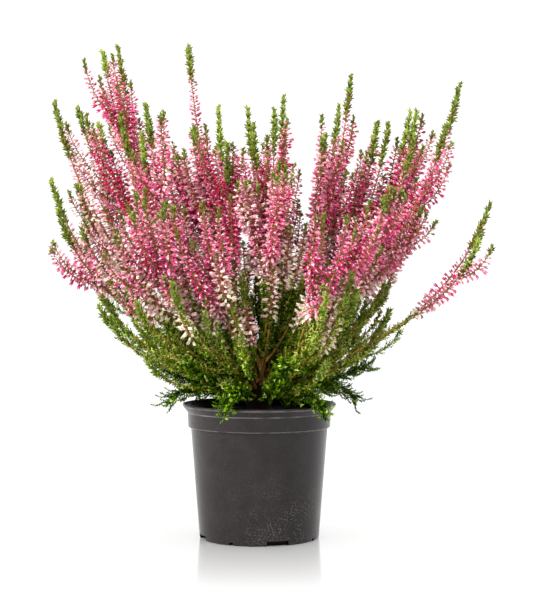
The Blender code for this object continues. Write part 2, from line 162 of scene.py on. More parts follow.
def from_axis(tree, place):
    """How far a place is from the plant's upright axis."""
    links = {0: place, 1: (1.0, 1.0, 0.0)}
    flat = add_node(tree, "ShaderNodeVectorMath", links, operation="MULTIPLY").outputs[0]
    return add_node(tree, "ShaderNodeVectorMath", {0: flat}, operation="LENGTH").outputs["Value"]


half = FLOOR_WIDTH / 2
floor_mesh = bpy.data.meshes.new("floor")
floor_mesh.from_pydata([(-half, -half, 0), (half, -half, 0), (half, half, 0), (-half, half, 0)],
                       [], [(0, 1, 2, 3)])
floor_gloss, tree, shader = new_finish("floor_gloss", FLOOR_ROUGH, FLOOR_WHITE)
nearness = range_of(tree, from_axis(tree, place_of(tree)), POLISH_FAR, POLISH_NEAR)
faded = product_of(tree, nearness, nearness)
polish = product_of(tree, product_of(tree, faded, faded), POLISH)
tree.links.new(polish, shader.inputs["Specular IOR Level"])
shader.inputs["Emission Color"].default_value = WHITE
shader.inputs["Emission Strength"].default_value = FLOOR_GLOW
floor_mesh.materials.append(floor_gloss)
floor = add_piece("floor", floor_mesh)
floor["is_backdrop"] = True
unlit = bpy.data.collections.new("not_lit_by_soft_box")
unlit.objects.link(floor)
unlit.collection_objects[0].light_linking.link_state = "EXCLUDE"
key.light_linking.receiver_collection = unlit


# Pot
# An 11 cm round nursery pot, thermoformed from thin black plastic: a flared lip, a plain collar
# that steps in to a tapered body, and drain slots and nicks cut up from its foot.

POT_HEIGHT = 0.096
LIP_RADIUS = 0.055
LIP_DROP = 0.0015
LIP_DRAFT = 0.0002
COLLAR_RADIUS = 0.0512
COLLAR_TOP = 0.0900
COLLAR_FOOT = 0.0795
COLLAR_DRAFT = 0.0004
COLLAR_STEP = 0.0006
BODY_TOP_RADIUS = 0.0489
BODY_FOOT_RADIUS = 0.0427
FOOT_ROUND = 0.0008
POT_WALL = 0.0011
FLOOR_THICK = 0.0012
RING_RADIUS = 0.0372
RING_THICK = 0.0037
POT_STEPS = 128
EDGE_ROUND = 0.0005
ROUND_REACH = 0.45
ROUND_SHARES = (0.0, 0.35, 0.65, 1.0)
MERGE_WITHIN = 0.00001
SHARP_FROM = math.radians(38.0)
SLOT_COUNT = 4
SLOT_BEARING = -72.0
SLOT_SIZE = (0.0160, 0.0035)
NICK_SIZE = (0.0030, 0.0022)
NOTCH_FROM = 0.0387
CUT_PAST = 0.004
PLASTIC = (0.0120, 0.0085, 0.0088)
PLASTIC_WORN = (0.0180, 0.0138, 0.0140)
# The pale edge lines are partly rubbed wear and partly painted highlights.
EDGE_WEAR_AND_HIGHLIGHT = (0.120, 0.110, 0.110)
EDGE_BAND = 0.00045

# How fine each pattern of the plastic is, and the ranges of it that show.
MOTTLE = (70.0, 5.0)
MOTTLE_WORN = (0.38, 0.72)
MOTTLE_ROUGH = (0.3, 0.7)
RUB_AND_GLINT_SCALE = 120.0
RUB_AND_GLINT_RANGE = (0.35, 0.60, 0.25, 1.0)
DUST_GRAIN = 980.0
DUST_SPECKS = (0.30, 0.16)
DUST_HEIGHTS = (0.050, 0.012)
DUST_ACROSS = (-0.020, 0.020)
DUST_SCALE = 90.0
DUST_PATCHES = (0.36, 0.60, 0.10, 0.75)
DUST_SHARE = (0.0, 0.8, 0.14, 1.0)
# The darkening of the pot's inside: partly compost stain, partly painted shade.
STAIN_AND_SHADE_FROM = 0.4
STAIN_AND_SHADE_FULL = 0.7
PEBBLE_SCALE = 1400.0
PEBBLE_BUMP = (0.0001, 0.25)

DUST = (0.30, 0.27, 0.23)
STAIN_AND_SHADE = (0.0050, 0.0034, 0.0026)
PLASTIC_GLOSS = 0.31
STAIN_AND_SHADE_GLOSS = 0.05
PLASTIC_ROUGH = (0.22, 0.30)
SATIN = 0.42


def colour_mix(tree, factor, low, high):
    """The colour that lies between low and high as the factor runs from 0 to 1."""
    low, high = ((*end, 1.0) if isinstance(end, tuple) else end for end in (low, high))
    mixer = add_node(tree, "ShaderNodeMix", data_type="RGBA")
    for index, value in ((0, factor), (6, low), (7, high)):
        if isinstance(value, bpy.types.NodeSocket):
            tree.links.new(value, mixer.inputs[index])
        else:
            mixer.inputs[index].default_value = value
    return mixer.outputs[2]


def noise_of(tree, place, scale, detail=2.0):
    links = {"Vector": place, "Scale": scale, "Detail": detail}
    return add_node(tree, "ShaderNodeTexNoise", links).outputs["Fac"]


def add_bump(tree, shader, height, distance, strength):
    links = {"Height": height, "Distance": distance, "Strength": strength}
    bump = add_node(tree, "ShaderNodeBump", links)
    tree.links.new(bump.outputs["Normal"], shader.inputs["Normal"])


def baked(thing):
    """A plain mesh of an object as its modifiers make it."""
    bpy.context.view_layer.update()
    return bpy.data.meshes.new_from_object(thing.evaluated_get(bpy.context.evaluated_depsgraph_get()))


def rounded(profile, size):
    """The same profile with every corner cut to a short arc, no longer than its sides allow."""
    points = [profile[0]]
    for before, corner, after in zip(profile, profile[1:], profile[2:]):
        before, corner, after = Vector(before), Vector(corner), Vector(after)
        reach = min(size, *((end - corner).length * ROUND_REACH for end in (before, after)))
        start = corner + (before - corner).normalized() * reach
        end = corner + (after - corner).normalized() * reach
        for share in ROUND_SHARES:
            points.append(start.lerp(corner, share).lerp(corner.lerp(end, share), share)[:])
    return [*points, profile[-1]]


def turned(name, profile, steps):
    """A closed mesh turned from radii and heights that start and end on the axis."""
    line = bpy.data.meshes.new(name)
    line.from_pydata([(radius, 0.0, height) for radius, height in profile],
                     [(k, k + 1) for k in range(len(profile) - 1)], [])
    blank = add_piece(name, line)
    turn = blank.modifiers.new("Turn", "SCREW")
    turn.steps = steps
    turn.render_steps = steps
    turn.use_merge_vertices = True
    turn.merge_threshold = MERGE_WITHIN
    solid = baked(blank)
    bpy.data.objects.remove(blank)
    shape = bmesh.new()
    shape.from_mesh(solid)
    bmesh.ops.recalc_face_normals(shape, faces=shape.faces)
    shape.to_mesh(solid)
    shape.free()
    solid.shade_smooth()
    return solid


pot_inside = [
    (RING_RADIUS - RING_THICK / 2, FLOOR_THICK),
    (RING_RADIUS, RING_THICK),
    (BODY_FOOT_RADIUS - POT_WALL, RING_THICK),
    (BODY_TOP_RADIUS - POT_WALL, COLLAR_FOOT),
    (COLLAR_RADIUS - POT_WALL, COLLAR_FOOT + POT_WALL),
    (COLLAR_RADIUS - POT_WALL, COLLAR_TOP),
]
pot_outside = [
    (LIP_RADIUS - POT_WALL, POT_HEIGHT),
    (LIP_RADIUS, POT_HEIGHT),
    (LIP_RADIUS - LIP_DRAFT, POT_HEIGHT - LIP_DROP),
    (COLLAR_RADIUS, COLLAR_TOP),
    (COLLAR_RADIUS - COLLAR_DRAFT, COLLAR_FOOT),
    (BODY_TOP_RADIUS, COLLAR_FOOT - COLLAR_STEP),
    (BODY_FOOT_RADIUS, FOOT_ROUND),
    (BODY_FOOT_RADIUS - FOOT_ROUND, 0.0),
]
pot_profile = rounded([(0.0, FLOOR_THICK), *pot_inside, *pot_outside, (0.0, 0.0)], EDGE_ROUND)
pot = add_piece("heather_pot", turned("heather_pot", pot_profile, POT_STEPS))
cutters = []
for k in range(2 * SLOT_COUNT):
    width, height = (SLOT_SIZE, NICK_SIZE)[k % 2]
    depth = BODY_FOOT_RADIUS + CUT_PAST - NOTCH_FROM
    block = bmesh.new()
    bmesh.ops.create_cube(block, size=1.0)
    bmesh.ops.scale(block, vec=(depth, width, 2.0 * height), verts=block.verts)
    bmesh.ops.translate(block, vec=(NOTCH_FROM + depth / 2, 0.0, 0.0), verts=block.verts)
    bearing = math.radians(SLOT_BEARING + 180.0 * k / SLOT_COUNT)
    bmesh.ops.transform(block, matrix=Matrix.Rotation(bearing, 4, "Z"), verts=block.verts)
    notch = bpy.data.meshes.new(f"notch_{k + 1}")
    block.to_mesh(notch)
    block.free()
    cutters.append(add_piece(notch.name, notch))
    cut = pot.modifiers.new(notch.name, "BOOLEAN")
    cut.object = cutters[-1]
    cut.operation = "DIFFERENCE"
cut_pot = baked(pot)
pot.modifiers.clear()
pot.data = cut_pot
pot.data.set_sharp_from_angle(angle=SHARP_FROM)
for cutter in cutters:
    bpy.data.objects.remove(cutter)

plastic, tree, shader = new_finish("pot_plastic_satin", SATIN)
place = place_of(tree)
parted = add_node(tree, "ShaderNodeSeparateXYZ", {0: place}).outputs
height, across = parted["Z"], parted["X"]
mottle = noise_of(tree, place, *MOTTLE)
worn_and_highlit = colour_mix(tree, range_of(tree, mottle, *MOTTLE_WORN), PLASTIC, PLASTIC_WORN)
rubbing_and_glint = range_of(tree, noise_of(tree, place, RUB_AND_GLINT_SCALE), *RUB_AND_GLINT_RANGE)
# Pale lines along the lip and collar edges: partly rubbed wear, partly painted highlights where the edges
# catch the light.
for edge in (COLLAR_TOP, COLLAR_FOOT, POT_HEIGHT - LIP_DROP):
    on_edge = math_of(tree, "COMPARE", height, edge, EDGE_BAND)
    worn_and_highlit = colour_mix(tree, product_of(tree, on_edge, rubbing_and_glint), worn_and_highlit, EDGE_WEAR_AND_HIGHLIGHT)

# Dust lies in specks, most of it low on the right.
grains = add_node(tree, "ShaderNodeTexVoronoi", {"Vector": place, "Scale": DUST_GRAIN}).outputs["Distance"]
low_right = product_of(tree, range_of(tree, height, *DUST_HEIGHTS), range_of(tree, across, *DUST_ACROSS))
settled = range_of(tree, noise_of(tree, place, DUST_SCALE), *DUST_PATCHES)
patches = product_of(tree, settled, range_of(tree, low_right, *DUST_SHARE))
specks = product_of(tree, range_of(tree, grains, *DUST_SPECKS), patches)
dusty = colour_mix(tree, specks, worn_and_highlit, DUST)

# The inside is darkened and dulled, the pot's floor and drain slots too: partly a compost stain, partly
# painted shade. It begins part of the way through the wall.
flare = range_of(tree, height, COLLAR_TOP, POT_HEIGHT, 0.0, LIP_RADIUS - COLLAR_RADIUS)
inward = math_of(tree, "SUBTRACT", from_axis(tree, place), flare)
above = range_of(tree, height, COLLAR_FOOT, COLLAR_TOP)
wall = math_of(tree, "MULTIPLY_ADD", above, COLLAR_RADIUS - BODY_FOOT_RADIUS, BODY_FOOT_RADIUS)
depth = math_of(tree, "SUBTRACT", wall, inward)
stained_and_shaded = range_of(tree, depth, POT_WALL * STAIN_AND_SHADE_FROM, POT_WALL * STAIN_AND_SHADE_FULL)
gloss = range_of(tree, stained_and_shaded, 0.0, 1.0, PLASTIC_GLOSS, STAIN_AND_SHADE_GLOSS)
tree.links.new(gloss, shader.inputs["Specular IOR Level"])
tree.links.new(colour_mix(tree, stained_and_shaded, dusty, STAIN_AND_SHADE), shader.inputs["Base Color"])
tree.links.new(range_of(tree, mottle, *MOTTLE_ROUGH, *PLASTIC_ROUGH), shader.inputs["Roughness"])
add_bump(tree, shader, noise_of(tree, place, PEBBLE_SCALE), *PEBBLE_BUMP)
pot.data.materials.clear()
pot.data.materials.append(plastic)
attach(pot, "root")
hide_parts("pot")


# Compost
# Dark peat fills the pot to a little under its lip, highest round the stool. Its top is a crumbly
# crust of clods, with a few bits of bark and straw lying in it.

SOIL_TOP = 0.0885
SOIL_FALL = 0.0030
SOIL_FLAT_RADIUS = 0.016
GAP = 0.0003
SOIL_RINGS = 26
SOIL_STEPS = 96
CRUST_RELIEF = 0.0012
CRUST_GRAIN = 0.006
SIDE_KEPT = 0.0005
RIM_KEPT = 0.0004
RELIEF_FADE = 0.8
RELIEF_FINER = 2.1
RELIEF_ROUNDS = 4
LOOKS_UP = 0.5
CLOD_SIZE = 0.0011
CLOD_LEAST = 0.78
CLOD_LUMP = 0.07
CLOD_DENSITY = 190000.0
CLOD_SIZES = (0.25, 1.25)
CLOD_SEED = 3
FIBRE_RADII = (0.00016, 0.00009)
FIBRE_LENGTH = 0.0052
FIBRE_DENSITY = 26000.0
FIBRE_SIZES = (0.4, 1.1)
FIBRE_SEED = 8
PEAT = (0.0080, 0.0052, 0.0034)
PEAT_DRY = (0.0420, 0.0240, 0.0130)
STRAW = (0.16, 0.10, 0.05)
PEAT_ROUGH = 0.92
STRAW_ROUGH = 0.8
PEAT_PATCHES = (420.0, 4.0)
PEAT_RANGE = (0.48, 0.72)
PEAT_GRAIN = (900.0, 3.0)
PEAT_BUMP = (0.0004, 0.9)
STRAW_SCALE = 300.0


def new_tree(name, inputs):
    """An empty geometry tree. Returns it with its input sockets and the socket of its result."""
    tree = bpy.data.node_groups.new(name, "GeometryNodeTree")
    for label, kind in {"Geometry": "NodeSocketGeometry", **inputs}.items():
        tree.interface.new_socket(label, in_out="INPUT", socket_type=kind)
    tree.interface.new_socket("Geometry", in_out="OUTPUT", socket_type="NodeSocketGeometry")
    return tree, tree.nodes.new("NodeGroupInput").outputs, tree.nodes.new("NodeGroupOutput").inputs[0]


def grown(name, base, tree, values):
    """The plain mesh that a geometry tree makes of a base mesh, with these input values."""
    carrier = add_piece(name, base)
    modifier = carrier.modifiers.new(tree.name, "NODES")
    modifier.node_group = tree
    for socket in tree.interface.items_tree:
        if socket.in_out == "INPUT" and socket.name in values:
            modifier[socket.identifier] = values[socket.name]
    mesh = baked(carrier)
    bpy.data.objects.remove(carrier)
    mesh.name = name
    return mesh


def random_between(tree, low, high, seed):
    """A value that each point draws between two numbers."""
    links = {2: low, 3: high, "Seed": seed}
    return add_node(tree, "FunctionNodeRandomValue", links, data_type="FLOAT").outputs[1]


def end_tree(tree, geometry, material, result):
    """A tree ends with its instances made real, in this material."""
    real = add_node(tree, "GeometryNodeRealizeInstances", {0: geometry})
    dressed = add_node(tree, "GeometryNodeSetMaterial", {"Geometry": real.outputs[0], "Material": material})
    tree.links.new(dressed.outputs[0], result)
    return tree


def scatter_tree(name):
    """A tree that strews copies of a template over the faces that look up."""
    tree, given, result = new_tree(name, {
        "Template": "NodeSocketObject", "Density": "NodeSocketFloat", "Smallest": "NodeSocketFloat",
        "Largest": "NodeSocketFloat", "Seed": "NodeSocketInt", "Material": "NodeSocketMaterial"})
    normal = add_node(tree, "GeometryNodeInputNormal").outputs[0]
    facing = add_node(tree, "ShaderNodeSeparateXYZ", {0: normal}).outputs["Z"]
    upward = add_node(tree, "FunctionNodeCompare", {0: facing, 1: LOOKS_UP}, operation="GREATER_THAN")
    strewn = add_node(tree, "GeometryNodeDistributePointsOnFaces", {
        "Mesh": given["Geometry"], "Selection": upward.outputs[0], "Density": given["Density"],
        "Seed": given["Seed"]})
    spin = add_node(tree, "FunctionNodeRandomValue", {1: (math.tau,) * 3, "Seed": given["Seed"]},
                    data_type="FLOAT_VECTOR")
    template = add_node(tree, "GeometryNodeObjectInfo", {"Object": given["Template"]})
    copies = add_node(tree, "GeometryNodeInstanceOnPoints", {
        "Points": strewn.outputs["Points"], "Instance": template.outputs["Geometry"],
        "Rotation": spin.outputs[0],
        "Scale": random_between(tree, given["Smallest"], given["Largest"], given["Seed"])})
    return end_tree(tree, copies.outputs[0], given["Material"], result)


def roughen(mesh, depth, grain, stretch=1.0, share=lambda place: 1.0):
    """Relief along the normals, of this depth and grain, drawn out along Z by the stretch."""
    shape = bmesh.new()
    shape.from_mesh(mesh)
    for corner in shape.verts:
        spot = Vector((corner.co.x, corner.co.y, corner.co.z / stretch)) / grain
        lift = noise.fractal(spot, RELIEF_FADE, RELIEF_FINER, RELIEF_ROUNDS) * depth * share(corner.co)
        corner.co += corner.normal * lift
    shape.normal_update()
    shape.to_mesh(mesh)
    shape.free()


def template_of(name, shape):
    """A hidden object that holds a small shape for a tree to copy."""
    mesh = bpy.data.meshes.new(name)
    shape.to_mesh(mesh)
    shape.free()
    template = add_piece(name, mesh)
    template.hide_render = True
    return template


def on_top(place):
    """1 on the top of the compost, and 0 on its rim, its side and its underside."""
    inside = math.hypot(place.x, place.y) < soil_edge - RIM_KEPT
    return float(inside and place.z > SOIL_TOP - SOIL_FALL - SIDE_KEPT)


soil_edge = COLLAR_RADIUS - POT_WALL - GAP
soil_wall = [(radius - GAP, height + GAP) for radius, height in pot_inside]
soil_top = [(0.0, SOIL_TOP)]
for k in range(1, SOIL_RINGS + 1):
    radius = soil_edge * k / SOIL_RINGS
    fallen = max(radius - SOIL_FLAT_RADIUS, 0.0) / (soil_edge - SOIL_FLAT_RADIUS)
    soil_top.append((radius, SOIL_TOP - SOIL_FALL * fallen))
soil_side = [point for point in reversed(soil_wall) if point[1] < SOIL_TOP - SOIL_FALL]
soil_mesh = turned("compost_crust", [*soil_top, *soil_side, (0.0, FLOOR_THICK + GAP)], SOIL_STEPS)
roughen(soil_mesh, CRUST_RELIEF, CRUST_GRAIN, share=on_top)

peat, tree, shader = new_finish("peat_compost", PEAT_ROUGH)
place = place_of(tree)
dry = range_of(tree, noise_of(tree, place, *PEAT_PATCHES), *PEAT_RANGE)
tree.links.new(colour_mix(tree, dry, PEAT, PEAT_DRY), shader.inputs["Base Color"])
add_bump(tree, shader, noise_of(tree, place, *PEAT_GRAIN), *PEAT_BUMP)
straw, tree, shader = new_finish("peat_straw", STRAW_ROUGH)
streaks = noise_of(tree, place_of(tree), STRAW_SCALE)
tree.links.new(colour_mix(tree, streaks, PEAT_DRY, STRAW), shader.inputs["Base Color"])
soil_mesh.materials.append(peat)
crust = add_piece("compost_crust", soil_mesh)

clod = bmesh.new()
bmesh.ops.create_icosphere(clod, subdivisions=1, radius=CLOD_SIZE)
for k, corner in enumerate(clod.verts):
    corner.co *= CLOD_LEAST + CLOD_LUMP * (k * 5 % 7)
clod_template = template_of("clod_template", clod)
fibre = bmesh.new()
bmesh.ops.create_cone(fibre, segments=3, radius1=FIBRE_RADII[0], radius2=FIBRE_RADII[1],
                      depth=FIBRE_LENGTH, cap_ends=True)
fibre_template = template_of("fibre_template", fibre)
strew = scatter_tree("strewn_on_compost")
compost_pieces = [crust]
for name, template, density, (smallest, largest), seed, material in (
        ("compost_clods", clod_template, CLOD_DENSITY, CLOD_SIZES, CLOD_SEED, peat),
        ("compost_fibres", fibre_template, FIBRE_DENSITY, FIBRE_SIZES, FIBRE_SEED, straw)):
    strewn = grown(name, soil_mesh, strew, {
        "Template": template, "Density": density, "Smallest": smallest, "Largest": largest,
        "Seed": seed, "Material": material})
    compost_pieces.append(add_piece(name, strewn))
for piece in compost_pieces:
    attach(piece, "root")
    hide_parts("compost")


# Stool and boughs
# The plant is one stool, a knobbly woody stump on a flared foot, nearly black: dark with age, and
# darkened more as painted shade deep in the plant's base. From it rise the boughs, one to each
# flowering mass. They are thin, with stringy orange-brown bark.

STOOL_STEPS = 56
FLARE_RADIUS = 0.0125
NECK_RADIUS = 0.0085
NECK_HEIGHT = 0.0055
HEAD_RADIUS = 0.0105
HEAD_HEIGHT = 0.0125
NECK_FOOT = NECK_HEIGHT * 0.7
FLARE_WAIST = (NECK_RADIUS + FLARE_RADIUS) / 2.1
FLARE_RISE = NECK_HEIGHT / 3
BARK_RELIEF = 0.0011
STOOL_GRAIN = 0.004
STOOL_STRETCH = 2.0
FOOT_KEPT = 0.0001
BOUGH_SPAN = 0.030
BOUGH_RADII = (0.00130, 0.00095)
BOUGH_POINTS = 7
BOUGH_SUNK = 0.0022
BOUGH_SIDES = 9
BOUGH_RELIEF = 0.00016
BOUGH_GRAIN = 0.0012
BOUGH_STRETCH = 2.5
BOUGH_STEP = 0.0006
BOUGHS_APART = 21.0
SPREAD_ROUNDS = 200
START_LEAN = (1.25, 7.0, 70.0)
START_PULL = 0.36
END_LEAN = 0.36
END_PULL = 0.36
CURVE_POINTS = 40
PATH_POINTS = 11
STOOL_LEANS = range(10, 121, 10)
BARK_GLOSS = 0.08
BARK_ROUGH = 0.78
BARK_DRAWN = (1.0, 1.0, 0.35)
BARK_RANGE = (0.38, 0.62)
BARK_BUMP = (0.0004, 0.6)
STOUT_GRAIN = 900.0
FINE_GRAIN = 700.0
# The stool's bark: dark with age, and darker still as painted shade.
OLD_BARK_AND_SHADE = (0.020, 0.011, 0.007)
OLD_BARK_AND_SHADE_DARK = (0.007, 0.004, 0.003)
YOUNG_BARK = (0.420, 0.190, 0.050)
YOUNG_BARK_DARK = (0.170, 0.072, 0.024)
UP = Vector((0.0, 0.0, 1.0))
CROWN = Vector((0.0, 0.0, 0.100))
HEAD = Vector((0.0, 0.0, SOIL_TOP + HEAD_HEIGHT))

# The flowering masses: bearing and lean, in degrees, of the leading spike's tip as seen from the
# crown, its reach in metres, the side spikes that fork from it, and the seed of their spread.
# A bearing turns from +X, the right, towards +Y, the back. Then how deep its florets' pink is,
# from 0, cream, to 1, crimson, how far from the crown its bloom starts, and how many finer
# flowering shoots each of its spikes carries.
MASSES = (
    ("left_low", -168, 44, 0.213, 2, 494, 0.42, 0.118, 2),
    ("left_high", 176, 35, 0.258, 3, 432, 0.44, 0.124, 3),
    ("back_left_high", 152, 25, 0.284, 3, 794, 0.54, 0.112, 5),
    ("left_inner", -162, 27, 0.223, 2, 63, 0.80, 0.094, 4),
    ("front_left", -130, 41, 0.178, 3, 703, 0.52, 0.100, 3),
    ("back_centre_left", 140, 15, 0.266, 2, 170, 0.76, 0.096, 5),
    ("centre_left", 180, 8, 0.209, 2, 217, 0.68, 0.090, 5),
    ("front_centre_left", -112, 36, 0.167, 2, 401, 0.54, 0.086, 3),
    ("back_centre", 71, 14, 0.227, 3, 693, 0.70, 0.094, 5),
    ("front_centre", -80, 21, 0.168, 2, 178, 0.66, 0.086, 5),
    ("centre_right", 33, 19, 0.248, 3, 259, 0.60, 0.092, 5),
    ("front_right", -58, 41, 0.168, 2, 741, 0.60, 0.090, 3),
    ("back_right_inner", 26, 31, 0.244, 3, 276, 0.72, 0.098, 5),
    ("right_inner", -12, 31, 0.216, 2, 356, 0.64, 0.092, 5),
    ("right_high", 8, 33, 0.270, 2, 779, 0.54, 0.110, 5),
    ("right_low", -7, 50, 0.213, 1, 2, 0.54, 0.112, 1),
    ("back_right_low", 40, 49, 0.214, 2, 1, 0.54, 0.112, 1),
    ("back_right", 68, 40, 0.208, 3, 31, 0.56, 0.108, 3),
    ("back_left", 112, 32, 0.228, 3, 805, 0.60, 0.110, 5),
    ("back_left_low", 143, 46, 0.208, 3, 1, 0.50, 0.112, 2),
)


def aim(bearing, lean):
    """The unit vector that leans this far from upright towards this bearing, in degrees."""
    turn = math.radians(bearing)
    tilt = math.radians(lean)
    return Vector((math.sin(tilt) * math.cos(turn), math.sin(tilt) * math.sin(turn), math.cos(tilt)))


def evenly(points, count):
    """The same line with this many points, an equal length apart."""
    line = np.array(points)
    run = np.concatenate([[0.0], np.cumsum(np.linalg.norm(np.diff(line, axis=0), axis=1))])
    wanted = np.linspace(0.0, run[-1], count)
    return [Vector([np.interp(place, run, line[:, k]) for k in range(3)]) for place in wanted]


def length_of(path):
    """How long a path is."""
    return sum((b - a).length for a, b in zip(path, path[1:]))


def point_at(path, span):
    """The point this far along a path, and the path's direction there."""
    for a, b in zip(path, path[1:]):
        step = (b - a).length
        if span <= step:
            return a.lerp(b, span / step), (b - a).normalized()
        span -= step
    return path[-1].copy(), (path[-1] - path[-2]).normalized()


def stretch_of(path, start, end):
    """The part of a path between two distances along it."""
    inner = []
    run = 0.0
    for a, b in zip(path, path[1:]):
        run += (b - a).length
        if start < run < end:
            inner.append(b)
    return [point_at(path, start)[0], *inner, point_at(path, end)[0]]


def spike_path(root, heading, tip):
    """A spike leaves its root along heading and turns up towards the light at its tip."""
    chord = tip - root
    bearing = math.degrees(math.atan2(chord.y, chord.x))
    lean = math.degrees(chord.angle(UP))
    leave = root + heading * chord.length * START_PULL
    arrive = tip - aim(bearing, lean * END_LEAN) * chord.length * END_PULL
    return evenly(interpolate_bezier(root, leave, arrive, tip, CURVE_POINTS), PATH_POINTS)


def start_headings():
    """The direction in which each mass's bough leaves the stool, pushed apart where they crowd."""
    scale, offset, most = START_LEAN
    headings = [aim(bearing, min(lean * scale + offset, most)) for _, bearing, lean, *_ in MASSES]
    apart = math.radians(BOUGHS_APART)
    for _ in range(SPREAD_ROUNDS):
        for first, second in itertools.combinations(headings, 2):
            push = (apart - first.angle(second)) / 4.0
            if push > 0.0:
                axis = first.cross(second).normalized()
                first.rotate(Quaternion(axis, -push))
                second.rotate(Quaternion(axis, push))
        for heading in headings:
            excess = heading.angle(UP) - math.radians(most)
            if excess > 0.0:
                heading.rotate(Quaternion(heading.cross(UP).normalized(), excess))
    return headings


def lines_mesh(name, lines):
    """A mesh of open lines. Each line is a list of points, and the values named at each point."""
    places, edges = [], []
    values = collections.defaultdict(list)
    for path, named in lines:
        edges += [(len(places) + k, len(places) + k + 1) for k in range(len(path) - 1)]
        places += path
        for label, series in named.items():
            values[label] += list(series)
    mesh = bpy.data.meshes.new(name)
    mesh.from_pydata(places, edges, [])
    for label, series in values.items():
        mesh.attributes.new(label, "FLOAT", "POINT").data.foreach_set("value", series)
    return mesh


def smooth_curve(tree, geometry):
    """Nodes that turn lines into smooth curves through their points."""
    curve = add_node(tree, "GeometryNodeMeshToCurve", {"Mesh": geometry}).outputs[0]
    smooth = add_node(tree, "GeometryNodeCurveSplineType", {"Curve": curve}, spline_type="CATMULL_ROM")
    return smooth.outputs[0]


def value_along(tree, label):
    """The value of this name at each point of a line."""
    named = add_node(tree, "GeometryNodeInputNamedAttribute", {"Name": label}, data_type="FLOAT")
    return named.outputs[0]


def stem_tree():
    """A tree that lays a tapering skin, of radius girth, over smooth lines."""
    tree, given, result = new_tree("stem_skin", {
        "Step": "NodeSocketFloat", "Sides": "NodeSocketInt", "Material": "NodeSocketMaterial"})
    fine = add_node(tree, "GeometryNodeResampleCurve", {
        "Curve": smooth_curve(tree, given["Geometry"]), "Length": given["Step"]}, mode="LENGTH")
    ring = add_node(tree, "GeometryNodeCurvePrimitiveCircle", {"Resolution": given["Sides"], "Radius": 1.0})
    skin = add_node(tree, "GeometryNodeCurveToMesh", {
        "Curve": fine.outputs[0], "Profile Curve": ring.outputs[0],
        "Scale": value_along(tree, "girth"), "Fill Caps": True})
    return end_tree(tree, skin.outputs[0], given["Material"], result)


def without_values(mesh):
    """The same mesh without the values that its tree read."""
    for label in ("girth", "tone", "size", "lean"):
        if label in mesh.attributes:
            mesh.attributes.remove(mesh.attributes[label])
    return mesh


def skinned(name, lines, step, sides, material):
    """The plain mesh of stems that run along these lines."""
    return without_values(grown(name, lines_mesh(f"{name}_lines", lines), skin_tree, {
        "Step": step, "Sides": sides, "Material": material}))


def tapered(first, last, count):
    """This many values that run evenly from the first to the last."""
    return [first + (last - first) * k / (count - 1) for k in range(count)]


def bark_finish(name, pale, dark, grain):
    """Stringy bark that runs from pale to dark, with a fibrous grain."""
    material, tree, shader = new_finish(name, BARK_ROUGH)
    shader.inputs["Specular IOR Level"].default_value = BARK_GLOSS
    place = place_of(tree)
    drawn = add_node(tree, "ShaderNodeMapping", {"Vector": place, "Scale": BARK_DRAWN}).outputs[0]
    fibres = noise_of(tree, drawn, grain, 4.0)
    colour = colour_mix(tree, range_of(tree, fibres, *BARK_RANGE), dark, pale)
    tree.links.new(colour, shader.inputs["Base Color"])
    add_bump(tree, shader, fibres, *BARK_BUMP)
    return material


leads = {}
for heading, (name, bearing, lean, reach, *_) in zip(start_headings(), MASSES):
    root = HEAD + heading * (HEAD_RADIUS + GAP)
    leads[name] = spike_path(root, heading, CROWN + aim(bearing, lean) * reach)

stool_foot = SOIL_TOP + GAP
stool_profile = [(0.0, HEAD.z + HEAD_RADIUS)]
for lean in STOOL_LEANS:
    turn = math.radians(lean)
    stool_profile.append((HEAD_RADIUS * math.sin(turn), HEAD.z + HEAD_RADIUS * math.cos(turn)))
stool_profile += [
    (NECK_RADIUS, stool_foot + NECK_HEIGHT),
    (NECK_RADIUS, stool_foot + NECK_FOOT),
    (FLARE_WAIST, stool_foot + FLARE_RISE),
    (FLARE_RADIUS, stool_foot),
    (0.0, stool_foot),
]
stool_mesh = turned("woody_stool", stool_profile, STOOL_STEPS)
roughen(stool_mesh, BARK_RELIEF, STOOL_GRAIN, STOOL_STRETCH,
        share=lambda place: float(place.z > stool_foot + FOOT_KEPT))
stool_mesh.materials.append(bark_finish("stool_bark", OLD_BARK_AND_SHADE, OLD_BARK_AND_SHADE_DARK, STOUT_GRAIN))
stool = add_piece("woody_stool", stool_mesh)

skin_tree = stem_tree()
bough_bark = bark_finish("bough_bark", YOUNG_BARK, YOUNG_BARK_DARK, STOUT_GRAIN)
bough_lines = []
for path in leads.values():
    foot = path[0] - (path[1] - path[0]).normalized() * BOUGH_SUNK
    limb = evenly([foot, *stretch_of(path, 0.0, BOUGH_SPAN)], BOUGH_POINTS)
    bough_lines.append((limb, {"girth": tapered(*BOUGH_RADII, BOUGH_POINTS)}))
bough_mesh = skinned("boughs", bough_lines, BOUGH_STEP, BOUGH_SIDES, bough_bark)
roughen(bough_mesh, BOUGH_RELIEF, BOUGH_GRAIN, BOUGH_STRETCH)
bough_mesh.shade_smooth()
boughs = add_piece("boughs", bough_mesh)
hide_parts("trunk")
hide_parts(*[f"bough_{name}" for name in leads])
for piece in (stool, boughs):
    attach(piece, "root")


# Flower spikes and their side shoots
# Each bough runs on as a long spike, with a few more that fork from it low down, and finer
# flowering shoots fork from those. Leafy stems that end below the bloom leave the boughs and the
# stool. Every stem is orange-brown where it carries leaves and dusky red where it blooms.

